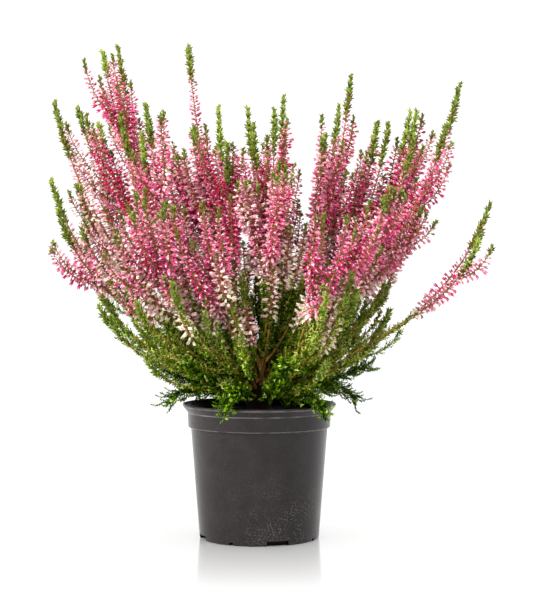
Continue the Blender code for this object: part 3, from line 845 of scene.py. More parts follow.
# The source's rule for a mass's spikes: how they fork and swing, and keep clear of one another.
BOUGH_END = 0.0303
STEM_RADIUS = 0.0014
CORE_RADIUS = 0.0028
POINT_RADIUS = 0.0004
BLOOM_RISE = 0.092
BLOOM_PLAY = 0.010
GREEN_TIP = (0.018, 0.032)
FORK_SPAN = (0.040, 0.064)
FORK_BEND = 1.6
SIDE_SWING = (4.5, 13.5)
SIDE_REACH = (0.75, 1.04)
TRIES = 80
LOW_RISE = 0.070
LOW_GAP = 0.0012
BLOOM_GAP = 0.0037
OWN_GAP = 0.0032

# How the spikes are dressed here. A tall mass's spikes end in longer green tips.
SPIKE_POINTS = 21
SPIKE_GIRTHS = (0.00125, 0.00034)
SIDE_GIRTHS = (0.00105, 0.00030)
BLOOM_START_PLAY = (-0.012, 0.012)
TALL_REACH = 0.205
TIP_LENGTHS = {"tall lead": (0.022, 0.042), "tall side": (0.016, 0.034), "short": (0.004, 0.011)}

# The finer flowering shoots.
SHOOT_POINTS = 9
SHOOT_BEND = 0.45
FLOWER_SHOOT_FORK = (0.20, 0.78)
FLOWER_SHOOT_SHARE = 0.92
FLOWER_SHOOT_LIFT = 0.10
FLOWER_SHOOT_LENGTH = (0.030, 0.064)
FLOWER_SHOOT_SWING = (9.0, 21.0)
FLOWER_SHOOT_TIP = (0.0015, 0.0075)
BLUSH_PLAY = (-0.24, 0.20)
TWIG_BLUSH_PLAY = (-0.20, 0.20)
FLOWER_SHOOT_GIRTHS = (0.00048, 0.00020)

# Pale shoots: low ones in cream bud, among the front and middle masses.
PALE_MASSES = ("front_left", "front_centre_left", "front_centre", "front_right", "centre_left",
               "back_centre", "centre_right")
PALE_SHOOTS = 4
PALE_FORK = (0.012, 0.046)
PALE_LENGTH = (0.056, 0.084)
PALE_SWING = (4.0, 20.0)
PALE_BLOOM = ((0.46, 0.60), (0.93, 0.98))
PALE_BLUSH = (0.00, 0.24)

# Leafy stems from the boughs: how many, and how long, for an upright mass and for a spreading one.
GREEN_STEMS = (10, 14)
GREEN_SPREAD_LEAN = 38
STEM_POINTS = 11
GREEN_FORK = (0.006, 0.034)
GREEN_LENGTHS = ((0.042, 0.076), (0.054, 0.114))
GREEN_SWING = (8.0, 30.0)
GREEN_LIFT = 0.22
GREEN_GIRTHS = (0.00105, 0.00034)
GREEN_TIP_FROM = 0.83

# Leafy stems from the stool: how many, their leans and their lengths, for upright and for
# spreading ones. They stand all round it but for a gap in front.
STOOL_STEMS = ((16, (0.0, 18.0), (0.048, 0.072)), (60, (6.0, 86.0), (0.030, 0.084)))
STOOL_FRONT = -84.0
STOOL_BEARING = (26.0, 180.0)
STOOL_STEM_SUNK = 0.0010
STOOL_STEM_SEED = 200

# The leafy foot's outline: its radius at the crown, how fast it widens above that, and its top.
LOW_REACH = 0.072
LOW_SPREAD = 0.90
LOW_TOP = 0.190

STEM_STEP = 0.008
SHORTEST_STRETCH = 0.002
POINT_BARE = 0.001
WOODY_SKIN = (0.0025, 5)
FLOWERING_SKIN = (0.0035, 4)
STEM_WOOD = (0.62, 0.34, 0.08)
STEM_WOOD_DARK = (0.33, 0.16, 0.035)
STEM_RED = (0.38, 0.15, 0.10)
STEM_RED_DARK = (0.18, 0.06, 0.04)

Spike = collections.namedtuple("Spike", "path radii")
Shoot = collections.namedtuple("Shoot", "path girths bloom foot blush kind")


def as_spike(path, rng):
    """A spike with the radii that the source gives it, thickest along its bloom."""
    rise = BLOOM_RISE + rng.uniform(-BLOOM_PLAY, BLOOM_PLAY)
    last = len(path) - 1
    start = next((k for k, point in enumerate(path) if (point - CROWN).length > rise), last) / last
    end = 1.0 - rng.uniform(*GREEN_TIP) / length_of(path)
    radii = []
    for k in range(last + 1):
        share = k / last
        if share < start:
            radii.append(STEM_RADIUS)
        elif share < end:
            radii.append(CORE_RADIUS)
        else:
            radii.append(POINT_RADIUS + (0.8 * CORE_RADIUS - POINT_RADIUS) * (1.0 - share) / (1.0 - end))
    return Spike(path, radii)


def side_spike(lead, toward, rng):
    """A spike that forks from the leading one and ends to one side of it."""
    across = toward.cross(UP).normalized()
    swing = Matrix.Rotation(math.radians(rng.uniform(*SIDE_SWING)), 3, across)
    roll = Matrix.Rotation(rng.uniform(0.0, math.tau), 3, toward)
    tip = CROWN + roll @ swing @ toward * rng.uniform(*SIDE_REACH)
    root, along = point_at(lead.path, rng.uniform(*FORK_SPAN))
    heading = (along + (tip - root).normalized() * FORK_BEND).normalized()
    return as_spike(spike_path(root, heading, tip), rng)


def spike_gaps(spike, others):
    """The gap to the others at each point of a spike, and how far each point is from the crown."""
    line = np.array(spike.path)
    starts = np.concatenate([np.array(other.path)[:-1] for other in others])
    along = np.concatenate([np.diff(np.array(other.path), axis=0) for other in others])
    thick = np.concatenate([np.maximum(other.radii[:-1], other.radii[1:]) for other in others])
    offset = line[:, None, :] - starts[None, :, :]
    share = np.clip((offset * along).sum(-1) / (along**2).sum(-1), 0.0, 1.0)
    gaps = (np.linalg.norm(offset - share[..., None] * along, axis=-1) - thick).min(axis=1)
    return gaps - np.array(spike.radii), np.linalg.norm(line - np.array(CROWN), axis=1)


def has_room(spike, others):
    gaps, rise = spike_gaps(spike, others)
    return bool((gaps > np.where(rise < LOW_RISE, LOW_GAP, BLOOM_GAP)).all())


def stands_apart(spike, own):
    """Past its fork, a side spike stands clear of its own mass's spikes."""
    gaps, rise = spike_gaps(spike, own)
    return bool((gaps[rise > BLOOM_RISE + 2 * BLOOM_PLAY] > OWN_GAP).all())


def grow_masses():
    """The leading spike of every mass, and then the side spikes that find room round them."""
    masses = {}
    lead_rng = random.Random(0)
    for name, path in leads.items():
        masses[name] = [as_spike(path, lead_rng)]
    for name, bearing, lean, reach, count, seed, *_ in MASSES:
        rng = random.Random(seed)
        for _ in range(count):
            for _ in range(TRIES):
                spike = side_spike(masses[name][0], aim(bearing, lean) * reach, rng)
                others = [other for key in masses if key != name for other in masses[key]]
                if has_room(spike, others) and stands_apart(spike, masses[name]):
                    masses[name].append(spike)
                    break
    return masses


def forked(path, span, length, swing, points, rng, lift=0.0):
    """A finer shoot that leaves a path this far along, swung aside, and turns up to the light."""
    root, along = point_at(path, span)
    aside = Matrix.Rotation(rng.uniform(0.0, math.tau), 3, along) @ along.orthogonal().normalized()
    turn = math.radians(swing)
    tip = root + (along * math.cos(turn) + aside * math.sin(turn) + UP * lift) * length
    heading = (along * math.cos(turn) + aside * (math.sin(turn) + SHOOT_BEND)).normalized()
    return evenly(spike_path(root, heading, tip), points)


def bloom_of(path, starts_at, tip_length):
    """The shares of a path between which it blooms: past this distance from the crown, to its tip."""
    last = len(path) - 1
    start = next((k for k, point in enumerate(path) if (point - CROWN).length > starts_at), last) / last
    return start, max(1.0 - tip_length / length_of(path), start)


def inside_box(path):
    """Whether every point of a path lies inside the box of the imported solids."""
    return all(low < value < high for point in path for value, low, high in zip(point, *cad_box))


def keeps_low(path):
    """Whether a leafy shoot ends below the bloom, inside the cone that the plant's leafy foot fills."""
    inside = all(math.hypot(point.x, point.y) < LOW_REACH + LOW_SPREAD * max(point.z - CROWN.z, 0.0)
                 for point in path)
    return inside and path[-1].z < LOW_TOP


masses = grow_masses()
spike_nodes = [f"spikes_{name}" for name in masses]
shoots = []
for name, _, _, reach, _, _, blush, bloom_from, twigs in MASSES:
    rng = random.Random(f"shoots of {name}")
    for rank, spike in enumerate(masses[name]):
        path = evenly(spike.path, SPIKE_POINTS)
        girths = SIDE_GIRTHS if rank else SPIKE_GIRTHS
        own_blush = blush + rng.uniform(*BLUSH_PLAY)
        starts_at = bloom_from + rng.uniform(*BLOOM_START_PLAY)
        tip = "short" if reach < TALL_REACH else "tall side" if rank else "tall lead"
        bloom = bloom_of(path, starts_at, rng.uniform(*TIP_LENGTHS[tip]))
        kind = "side" if rank else "lead"
        shoots.append(Shoot(path, tapered(*girths, SPIKE_POINTS), bloom, starts_at, own_blush, kind))
        for _ in range(twigs):
            span = rng.uniform(*FLOWER_SHOOT_FORK) * length_of(path)
            length = min(rng.uniform(*FLOWER_SHOOT_LENGTH), (length_of(path) - span) * FLOWER_SHOOT_SHARE)
            swing = rng.uniform(*FLOWER_SHOOT_SWING)
            twig = forked(path, span, length, swing, SHOOT_POINTS, rng, FLOWER_SHOOT_LIFT)
            bloom = bloom_of(twig, starts_at, rng.uniform(*FLOWER_SHOOT_TIP))
            if inside_box(twig):
                twig_blush = own_blush + rng.uniform(*TWIG_BLUSH_PLAY)
                twig_girths = tapered(*FLOWER_SHOOT_GIRTHS, SHOOT_POINTS)
                shoots.append(Shoot(twig, twig_girths, bloom, starts_at, twig_blush, "twig"))

stem_girths = tapered(*GREEN_GIRTHS, STEM_POINTS)
for name in PALE_MASSES:
    rng = random.Random(f"pale shoots of {name}")
    for _ in range(PALE_SHOOTS):
        twig = forked(leads[name], rng.uniform(*PALE_FORK), rng.uniform(*PALE_LENGTH),
                      rng.uniform(*PALE_SWING), STEM_POINTS, rng, GREEN_LIFT)
        bloom = tuple(rng.uniform(*span) for span in PALE_BLOOM)
        if inside_box(twig):
            shoots.append(Shoot(twig, stem_girths, bloom, 0.0, rng.uniform(*PALE_BLUSH), "pale"))
for name, _, lean, *_ in MASSES:
    rng = random.Random(f"green stems of {name}")
    spreads = lean > GREEN_SPREAD_LEAN
    for _ in range(GREEN_STEMS[spreads]):
        stem = forked(leads[name], rng.uniform(*GREEN_FORK), rng.uniform(*GREEN_LENGTHS[spreads]),
                      rng.uniform(*GREEN_SWING), STEM_POINTS, rng, GREEN_LIFT)
        if keeps_low(stem) and inside_box(stem):
            shoots.append(Shoot(stem, stem_girths, (GREEN_TIP_FROM, GREEN_TIP_FROM), 0.0, 0.0, "green"))
for count, leans, lengths in STOOL_STEMS:
    for k in range(count):
        rng = random.Random(STOOL_STEM_SEED + k)
        side = rng.choice((-1.0, 1.0))
        heading = aim(STOOL_FRONT + side * rng.uniform(*STOOL_BEARING), rng.uniform(*leans))
        root = HEAD + heading * (HEAD_RADIUS - STOOL_STEM_SUNK)
        tip = root + (heading + UP * GREEN_LIFT) * rng.uniform(*lengths)
        stem = evenly(spike_path(root, heading, tip), STEM_POINTS)
        if keeps_low(stem) and inside_box(stem):
            shoots.append(Shoot(stem, stem_girths, (GREEN_TIP_FROM, GREEN_TIP_FROM), 0.0, 0.0, "green"))

wood_lines, red_lines = [], []
for shoot in shoots:
    whole = length_of(shoot.path)
    foot = BOUGH_END if shoot.kind == "lead" else 0.0
    change = max(shoot.bloom[0] * whole, foot + SHORTEST_STRETCH)
    for lines, start, end in ((wood_lines, foot, change), (red_lines, change, whole - POINT_BARE)):
        if end - start > SHORTEST_STRETCH:
            part = evenly(stretch_of(shoot.path, start, end), max(3, round((end - start) / STEM_STEP)))
            spans = np.linspace(start, end, len(part)) / whole
            girth = np.interp(spans, np.linspace(0.0, 1.0, len(shoot.path)), shoot.girths)
            lines.append((part, {"girth": girth}))
stem_wood = bark_finish("leafy_stem_wood", STEM_WOOD, STEM_WOOD_DARK, FINE_GRAIN)
stem_red = bark_finish("flower_stem_red", STEM_RED, STEM_RED_DARK, FINE_GRAIN)
for name, lines, skin, material in (("spike_stems_woody", wood_lines, WOODY_SKIN, stem_wood),
                                    ("spike_stems_flowering", red_lines, FLOWERING_SKIN, stem_red)):
    piece = add_piece(name, skinned(name, lines, *skin, material))
    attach(piece, "root")
    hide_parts(*spike_nodes)


# Leafy side shoots
# Below the bloom each stem carries short leafy shoots all round, with soft green-brown stems. They
# are what fills the lower third of the plant.

LEAFY_PITCH = 0.0013
SPIKE_LEAFY_PITCH = 0.0015
LEAFY_LENGTH = (0.0024, 0.0058)
LEAFY_SWING = (28.0, 50.0)
LEAFY_LIFT = 0.24
LEAFY_POINTS = 4
LEAFY_GIRTHS = (0.00030, 0.00016)
LEAFY_SKIN = (0.0060, 3)
LEAFY_FROM = {"lead": 0.016, "other": 0.003}
LEAFY_PAST = 0.004
LEAFY_SIDE_PLAY = 0.4
GOLDEN_ANGLE = math.radians(137.508)
STEM_GREEN = (0.24, 0.25, 0.040)
STEM_GREEN_DARK = (0.10, 0.11, 0.015)
RIM_INSIDE = 0.0490
RIM_OUTSIDE = 0.0570
RIM_CLEAR = 0.0985
SOIL_CLEAR = 0.0905


def clears_pot(path):
    """Whether a path keeps clear of the compost and of the pot's wall and lip."""
    for point in path:
        radius = math.hypot(point.x, point.y)
        if point.z < SOIL_CLEAR and radius < RIM_OUTSIDE:
            return False
        if RIM_INSIDE < radius < RIM_OUTSIDE and point.z < RIM_CLEAR:
            return False
    return True


def leafy_along(path, start, end, rng, pitch=LEAFY_PITCH, lengths=LEAFY_LENGTH, lift=LEAFY_LIFT):
    """Short leafy shoots round a stem, between two distances along it, that all turn upwards."""
    found = []
    for k in range(int((end - start) / pitch)):
        root, along = point_at(path, start + (k + rng.random()) * pitch)
        around = k * GOLDEN_ANGLE + rng.uniform(-LEAFY_SIDE_PLAY, LEAFY_SIDE_PLAY)
        aside = Matrix.Rotation(around, 3, along) @ along.orthogonal().normalized()
        turn = math.radians(rng.uniform(*LEAFY_SWING))
        heading = along * math.cos(turn) + aside * math.sin(turn)
        tip = root + (heading + UP * lift).normalized() * rng.uniform(*lengths)
        twig = evenly(spike_path(root, (heading + aside * SHOOT_BEND).normalized(), tip), LEAFY_POINTS)
        if clears_pot(twig) and inside_box(twig):
            found.append(twig)
    return found


leafy_shoots = []
rng = random.Random("leafy side shoots")
for shoot in shoots:
    start = LEAFY_FROM["lead" if shoot.kind == "lead" else "other"]
    end = shoot.bloom[0] * length_of(shoot.path) + LEAFY_PAST
    pitch = SPIKE_LEAFY_PITCH if shoot.kind in ("lead", "side") else LEAFY_PITCH
    leafy_shoots += leafy_along(shoot.path, start, end, rng, pitch)
stem_green = bark_finish("leafy_twig_green", STEM_GREEN, STEM_GREEN_DARK, FINE_GRAIN)
leafy_lines = [(path, {"girth": tapered(*LEAFY_GIRTHS, LEAFY_POINTS)}) for path in leafy_shoots]
leafy_twigs = add_piece("leafy_twigs", skinned("leafy_twigs", leafy_lines, *LEAFY_SKIN, stem_green))
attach(leafy_twigs, "root")
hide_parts(*spike_nodes)


# Skirts
# Low leafy stems leave the stool's waist all round, set with leafy shoots like the rest. Every
# other one hangs over the pot's rim.

SKIRT_COUNT = 12
SKIRT_SEED = 100
SKIRT_BEARING = -106.0
SKIRT_PLAY = 5.0
SKIRT_LEAN = 97.0
HANGING_TIP = ((0.063, 0.076), (0.0930, 0.1000))
RISING_TIP = ((0.072, 0.088), (0.1120, 0.1300))
SKIRT_HEADING = 74.0
SKIRT_PULLS = (0.020, 0.024)
SKIRT_DROP_LEAN = 132.0
SKIRT_RISE_LEAN = 62.0
SKIRT_CURVE_POINTS = 30
SKIRT_POINTS = 12
SKIRT_BARE = 0.008
SKIRT_SUNK = 0.4
SKIRT_GIRTHS = (0.00080, 0.00028)
SKIRT_SKIN = (0.0030, 4)
SKIRT_PITCH = 0.00072
SKIRT_SHOOT_LENGTH = (0.0055, 0.0130)

skirts = []
for k in range(SKIRT_COUNT):
    rng = random.Random(SKIRT_SEED + k)
    bearing = SKIRT_BEARING + 360.0 * k / SKIRT_COUNT + rng.uniform(-SKIRT_PLAY, SKIRT_PLAY)
    reach, height = (HANGING_TIP, RISING_TIP)[k % 2]
    tip = aim(bearing, 90.0) * rng.uniform(*reach) + UP * rng.uniform(*height)
    root = HEAD + aim(bearing, SKIRT_LEAN) * (HEAD_RADIUS + GAP)
    leave = root + aim(bearing, SKIRT_HEADING) * SKIRT_PULLS[0]
    arrive = tip - aim(bearing, (SKIRT_DROP_LEAN, SKIRT_RISE_LEAN)[k % 2]) * SKIRT_PULLS[1]
    skirts.append(evenly(interpolate_bezier(root, leave, arrive, tip, SKIRT_CURVE_POINTS), SKIRT_POINTS))
skirt_shoots = []
rng = random.Random("skirt shoots")
for path in skirts:
    skirt_shoots += leafy_along(path, SKIRT_BARE, length_of(path), rng,
                                SKIRT_PITCH, SKIRT_SHOOT_LENGTH, 0.0)
skirt_girths = tapered(*SKIRT_GIRTHS, SKIRT_POINTS)
skirt_lines = []
for path in skirts:
    rooted = path[0] - (path[1] - path[0]) * SKIRT_SUNK
    skirt_lines.append(([rooted, *path[1:]], {"girth": skirt_girths}))
skirt_lines += [(path, {"girth": tapered(*LEAFY_GIRTHS, LEAFY_POINTS)}) for path in skirt_shoots]
skirt_stems = add_piece("skirt_stems", skinned("skirt_stems", skirt_lines, *SKIRT_SKIN, stem_green))
skirt_nodes = [f"skirt_{k + 1}" for k in range(SKIRT_COUNT)]
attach(skirt_stems, "root")
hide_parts(*skirt_nodes)


# Leaves
# Ling leaves are scales a couple of millimetres long, in tight opposite pairs, each pair a quarter
# turn from the last. They run all along the leafy shoots, and up the last of each stem below its
# bloom. Their colours carry painted light and shade: those deep in the plant are the darkest and
# those round its outside the lightest, and each shoot's own tip is both the freshest and the most lit.

LEAF_SIZE = (0.0024, 0.00136, 0.00074)
PAIR_PITCH = 0.00140
SKIRT_PAIR_PITCH = 0.00105
PAIR_TURN = math.radians(90.0)
PAIR_LEAN = 50.0
LEAF_TAPER = 0.75
LEAFED_BELOW = 0.030
OUTER_RADIUS = 0.075
OUTER_LIGHT_TONE = 0.40
FRESH_LIT_TIP_TONE = 0.34
SHOOT_TONES = (-0.20, 0.16)
SHOOT_LEAF_SIZES = (0.8, 1.1)
STEM_TONES = (0.10, 0.40)
STEM_LEAF_SIZE = 0.95
SKIRT_TONES = (-0.01, 0.31)
SKIRT_LEAF_SIZES = (0.88, 1.12)
SIDEWAYS_PLAY = 0.35
PATCH_GRAIN = 520.0
PATCH_RANGE = (0.40, 0.60)
WAX_GRAIN = 2600.0
WAX_BUMP = (0.0001, 0.3)
NO_LEAST = -9.0
NO_MOST = 9.0

# Each colour's pale and dark ends, and the range of tones that it dresses.
# The classes run from the painted shade of leaves deep in the plant to the painted light on its outer tips.
LEAF_GREENS = {
    "shaded": ((0.012, 0.044, 0.001), (0.005, 0.018, 0.000), NO_LEAST, 0.24),
    "grown": ((0.046, 0.135, 0.001), (0.020, 0.064, 0.001), 0.24, 0.42),
    "ripe": ((0.178, 0.310, 0.009), (0.075, 0.160, 0.002), 0.42, 0.62),
    "fresh": ((0.520, 0.630, 0.150), (0.260, 0.370, 0.040), 0.62, NO_MOST),
}


def add_scale(shape, length, width, thick, tilt, roll):
    """A scale leaf: a slim wedge that is broadest at its root and ends in a point."""
    turn = Matrix.Rotation(math.radians(roll), 3, "Z") @ Matrix.Rotation(math.radians(tilt), 3, "X")
    root = ((width / 2, thick / 3, 0.0), (-width / 2, thick / 3, 0.0), (0.0, -thick * 2 / 3, 0.0))
    corners = [shape.verts.new(turn @ Vector(point)) for point in (*root, (0.0, 0.0, length))]
    for k in range(3):
        shape.faces.new((corners[3], corners[k], corners[(k + 1) % 3]))
    shape.faces.new(corners[2::-1])


def finished(shape):
    """The same shape with all its faces turned outwards."""
    bmesh.ops.recalc_face_normals(shape, faces=shape.faces)
    return shape


def deal_tree():
    """A tree that deals copies of a template round and along smooth lines.

    Each point along the line draws a tone. Only points whose tone lies in the wanted range get a
    copy, so trees that differ only in range share the line out between their colours.
    """
    tree, given, result = new_tree("dealt_along_stems", {
        "Template": "NodeSocketObject", "Pitch": "NodeSocketFloat", "Turn": "NodeSocketFloat",
        "Angle play": "NodeSocketFloat", "Size play": "NodeSocketFloat", "Tone play": "NodeSocketFloat",
        "Tone from": "NodeSocketFloat", "Tone to": "NodeSocketFloat", "Seed": "NodeSocketInt",
        "Material": "NodeSocketMaterial"})
    dealt = add_node(tree, "GeometryNodeCurveToPoints", {
        "Curve": smooth_curve(tree, given["Geometry"]), "Length": given["Pitch"]}, mode="LENGTH")
    seeds = [math_of(tree, "ADD", given["Seed"], k) for k in range(4)]
    spread = math_of(tree, "MULTIPLY", given["Tone play"], -1.0)
    tone = math_of(tree, "ADD", value_along(tree, "tone"),
                   random_between(tree, spread, given["Tone play"], seeds[0]))
    links = {0: tone, 1: given["Tone from"]}
    above = add_node(tree, "FunctionNodeCompare", links, operation="GREATER_EQUAL")
    links = {0: tone, 1: given["Tone to"]}
    below = add_node(tree, "FunctionNodeCompare", links, operation="LESS_THAN")
    wanted = add_node(tree, "FunctionNodeBooleanMath", {0: above.outputs[0], 1: below.outputs[0]})
    links = {"Vector": dealt.outputs["Tangent"]}
    upright = add_node(tree, "FunctionNodeAlignRotationToVector", links, axis="Z")
    count = add_node(tree, "GeometryNodeInputIndex").outputs[0]
    turn = math_of(tree, "ADD", math_of(tree, "MULTIPLY", count, given["Turn"]),
                   random_between(tree, -SIDEWAYS_PLAY, SIDEWAYS_PLAY, seeds[1]))
    lean_spread = math_of(tree, "MULTIPLY", given["Angle play"], -1.0)
    lean = math_of(tree, "ADD", value_along(tree, "lean"),
                   random_between(tree, lean_spread, given["Angle play"], seeds[2]))
    around = add_node(tree, "FunctionNodeAxisAngleToRotation", {"Axis": (0.0, 0.0, 1.0), "Angle": turn})
    outward = add_node(tree, "FunctionNodeAxisAngleToRotation", {"Axis": (1.0, 0.0, 0.0), "Angle": lean})
    facing = upright.outputs[0]
    for step in (around, outward):
        facing = add_node(tree, "FunctionNodeRotateRotation", {
            "Rotation": facing, "Rotate By": step.outputs[0]}, rotation_space="LOCAL").outputs[0]
    least = math_of(tree, "SUBTRACT", 1.0, given["Size play"])
    most = math_of(tree, "ADD", 1.0, given["Size play"])
    size = math_of(tree, "MULTIPLY", value_along(tree, "size"),
                   random_between(tree, least, most, seeds[3]))
    template = add_node(tree, "GeometryNodeObjectInfo", {"Object": given["Template"]})
    copies = add_node(tree, "GeometryNodeInstanceOnPoints", {
        "Points": dealt.outputs["Points"], "Selection": wanted.outputs[0],
        "Instance": template.outputs["Geometry"], "Rotation": facing, "Scale": size})
    return end_tree(tree, copies.outputs[0], given["Material"], result)


def waxy_finish(name, pale, dark, roughness=0.5, gloss=0.02):
    """The waxy skin of leaves and sepals, from pale to dark between neighbours."""
    material, tree, shader = new_finish(name, roughness)
    shader.inputs["Specular IOR Level"].default_value = gloss
    place = place_of(tree)
    patches = range_of(tree, noise_of(tree, place, PATCH_GRAIN, 2.0), *PATCH_RANGE)
    tree.links.new(colour_mix(tree, patches, dark, pale), shader.inputs["Base Color"])
    add_bump(tree, shader, noise_of(tree, place, WAX_GRAIN), *WAX_BUMP)
    return material


def deal_out(name, lines, template, classes, values, nodes):
    """One piece for each colour class of a template dealt along lines."""
    bare = lines_mesh(f"{name}_lines", lines)
    for label, (material, low, high) in classes.items():
        mesh = grown(f"{name}_{label}", bare.copy(), deal, {
            "Template": template, **values, "Tone from": low, "Tone to": high, "Material": material})
        piece = add_piece(mesh.name, without_values(mesh))
        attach(piece, "root")
        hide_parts(*nodes)


pair = bmesh.new()
for roll in (0.0, 180.0):
    add_scale(pair, *LEAF_SIZE, tilt=PAIR_LEAN, roll=roll)
pair_template = template_of("pair_template", finished(pair))
deal = deal_tree()
leaf_classes = {label: (waxy_finish(f"leaf_{label}", pale, dark), low, high)
                for label, (pale, dark, low, high) in LEAF_GREENS.items()}


def leaf_values(path, tone, size):
    """Tone, size and lean for the leaf pairs along a path, which are fresher, lighter with painted light
    and smaller at its tip.
    """
    count = len(path)
    return {"tone": tapered(tone, tone + FRESH_LIT_TIP_TONE, count), "size": tapered(size, size * LEAF_TAPER, count),
            "lean": [0.0] * count}


rng = random.Random("leaf tones")
leaf_lines = []
for path in leafy_shoots:
    # Leaves nearer the outside of the plant are lighter: painted light.
    outer_lit = min(math.hypot(path[-1].x, path[-1].y) / OUTER_RADIUS, 1.0)
    tone = OUTER_LIGHT_TONE * outer_lit + rng.uniform(*SHOOT_TONES)
    leaf_lines.append((path, leaf_values(path, tone, rng.uniform(*SHOOT_LEAF_SIZES))))
for shoot in shoots:
    end = shoot.bloom[0] * length_of(shoot.path)
    start = max(end - LEAFED_BELOW, SHORTEST_STRETCH)
    if end - start > 2 * SHORTEST_STRETCH:
        part = evenly(stretch_of(shoot.path, start, end), max(3, round((end - start) / STEM_STEP)))
        leaf_lines.append((part, leaf_values(part, rng.uniform(*STEM_TONES), STEM_LEAF_SIZE)))
pair_values = {"Pitch": PAIR_PITCH, "Turn": PAIR_TURN, "Angle play": 0.16, "Size play": 0.25,
               "Tone play": 0.22, "Seed": 11}
deal_out("leaves", leaf_lines, pair_template, leaf_classes, pair_values, spike_nodes)
skirt_leaf_lines = []
for path in [*skirt_shoots, *[stretch_of(path, SKIRT_BARE, length_of(path)) for path in skirts]]:
    tone = rng.uniform(*SKIRT_TONES)
    skirt_leaf_lines.append((path, leaf_values(path, tone, rng.uniform(*SKIRT_LEAF_SIZES))))
skirt_values = {**pair_values, "Pitch": SKIRT_PAIR_PITCH, "Seed": 21}
deal_out("skirt_leaves", skirt_leaf_lines, pair_template, leaf_classes, skirt_values,
         skirt_nodes)


# Florets
# Closed buds of three coloured sepals, nearly 5 mm long, that stand out from the spike on short
# reddish stalks. Most show the pale point of the petals inside, near white, which also stands as a
# painted highlight on each floret. They run from cream at the foot of the bloom through rose or
# crimson to dusky buds at its tip, and each spike and shoot has its own.

SEPAL_SIZE = (0.0047, 0.00140, 0.00096)
SEPAL_TILT = 13.0
STALK_SIZE = (0.0032, 0.00125, 0.00125)
STALK_LENGTH = 0.0016
FLORET_PITCH = 0.00080
FLORET_LEANS = (102.0, 90.0, 60.0)
FLORET_SIZES = (0.92, 1.06, 0.62)
BUNCH_PITCH = 0.0055
BUNCHING = (0.78, 1.20)
LEAST_BLOOM = 0.004
PALE_FOOT = (0.008, 0.030)
PALE_BY = 0.44
FLORET_WAX = (0.6, 0.03)
DUSKY_TIP = (0.58, 1.0)
DUSKY_TONE = 0.34
FLORET_PINKS = {
    "cream": ((0.98, 0.93, 0.74), (0.64, 0.50, 0.30), NO_LEAST, 0.14),
    "blush": ((0.95, 0.68, 0.66), (0.58, 0.27, 0.26), 0.14, 0.28),
    "dusky": ((0.60, 0.27, 0.30), (0.22, 0.080, 0.096), 0.28, 0.38),
    "pale_pink": ((0.86, 0.36, 0.44), (0.42, 0.08, 0.12), 0.38, 0.48),
    "pink": ((0.88, 0.210, 0.370), (0.40, 0.040, 0.110), 0.48, 0.61),
    "rose": ((0.80, 0.082, 0.250), (0.30, 0.014, 0.076), 0.61, 0.78),
    "crimson": ((0.58, 0.034, 0.110), (0.22, 0.009, 0.032), 0.78, NO_MOST),
}
PETAL_SIZE = (0.0025, 0.00130, 0.00130)
PETAL_RISE = 0.0040
PETAL_AND_HIGHLIGHT_PALE = (0.98, 0.90, 0.87)
PETAL_AND_HIGHLIGHT_DARK = (0.86, 0.52, 0.57)
PETALS_BELOW = 0.86
BRACT_GREEN = (0.32, 0.17, 0.06)
BRACT_DARK = (0.15, 0.060, 0.024)


def add_blade(shape, length, width, thick, tilt, roll, rise):
    """A three-sided blade, pointed at both ends, that tilts out of its root at this height."""
    ring = ((width / 2, thick * 0.35), (-width / 2, thick * 0.35), (0.0, -thick * 0.65))
    points = [(0.0, 0.0, 0.0), *[(x, y, length / 2) for x, y in ring], (0.0, 0.0, length)]
    turn = Matrix.Rotation(math.radians(roll), 3, "Z") @ Matrix.Rotation(math.radians(tilt), 3, "X")
    corners = [shape.verts.new(UP * rise + turn @ Vector(point)) for point in points]
    for k in range(3):
        shape.faces.new((corners[0], corners[1 + (k + 1) % 3], corners[1 + k]))
        shape.faces.new((corners[4], corners[1 + k], corners[1 + (k + 1) % 3]))


floret = bmesh.new()
for k in range(3):
    add_blade(floret, *SEPAL_SIZE, SEPAL_TILT, 120.0 * k + 30.0, STALK_LENGTH)
floret_template = template_of("floret_template", finished(floret))
petals = bmesh.new()
add_scale(petals, *PETAL_SIZE, tilt=0.0, roll=0.0)
bmesh.ops.translate(petals, vec=(0.0, 0.0, PETAL_RISE), verts=petals.verts)
petal_template = template_of("petal_template", finished(petals))
stalk = bmesh.new()
add_scale(stalk, *STALK_SIZE, tilt=0.0, roll=0.0)
stalk_template = template_of("stalk_template", finished(stalk))

rng = random.Random("florets")
floret_lines = []
for shoot in shoots:
    whole = length_of(shoot.path)
    start, end = shoot.bloom[0] * whole, shoot.bloom[1] * whole
    if end - start < LEAST_BLOOM:
        continue
    count = max(4, round((end - start) / BUNCH_PITCH))
    part = evenly(stretch_of(shoot.path, start, end), count)
    shares = np.linspace(0.0, 1.0, count)
    rises = [(point - CROWN).length - shoot.foot for point in part]
    deepened = np.interp(rises, PALE_FOOT, (max(shoot.blush - PALE_BY, 0.0), shoot.blush))
    tones = deepened + (DUSKY_TONE - deepened) * np.interp(shares, DUSKY_TIP, (0.0, 1.0))
    leans = np.radians(np.interp(shares, (0.0, 0.5, 1.0), FLORET_LEANS))
    sizes = np.interp(shares, (0.0, 0.4, 1.0), FLORET_SIZES) * [rng.uniform(*BUNCHING) for _ in shares]
    floret_lines.append((part, {"tone": tones, "lean": leans, "size": sizes}))
floret_classes = {label: (waxy_finish(f"floret_{label}", pale, dark, *FLORET_WAX), low, high)
                  for label, (pale, dark, low, high) in FLORET_PINKS.items()}
floret_values = {"Pitch": FLORET_PITCH, "Turn": GOLDEN_ANGLE, "Angle play": 0.22, "Size play": 0.20,
                 "Tone play": 0.15, "Seed": 31}
deal_out("florets", floret_lines, floret_template, floret_classes, floret_values,
         spike_nodes)
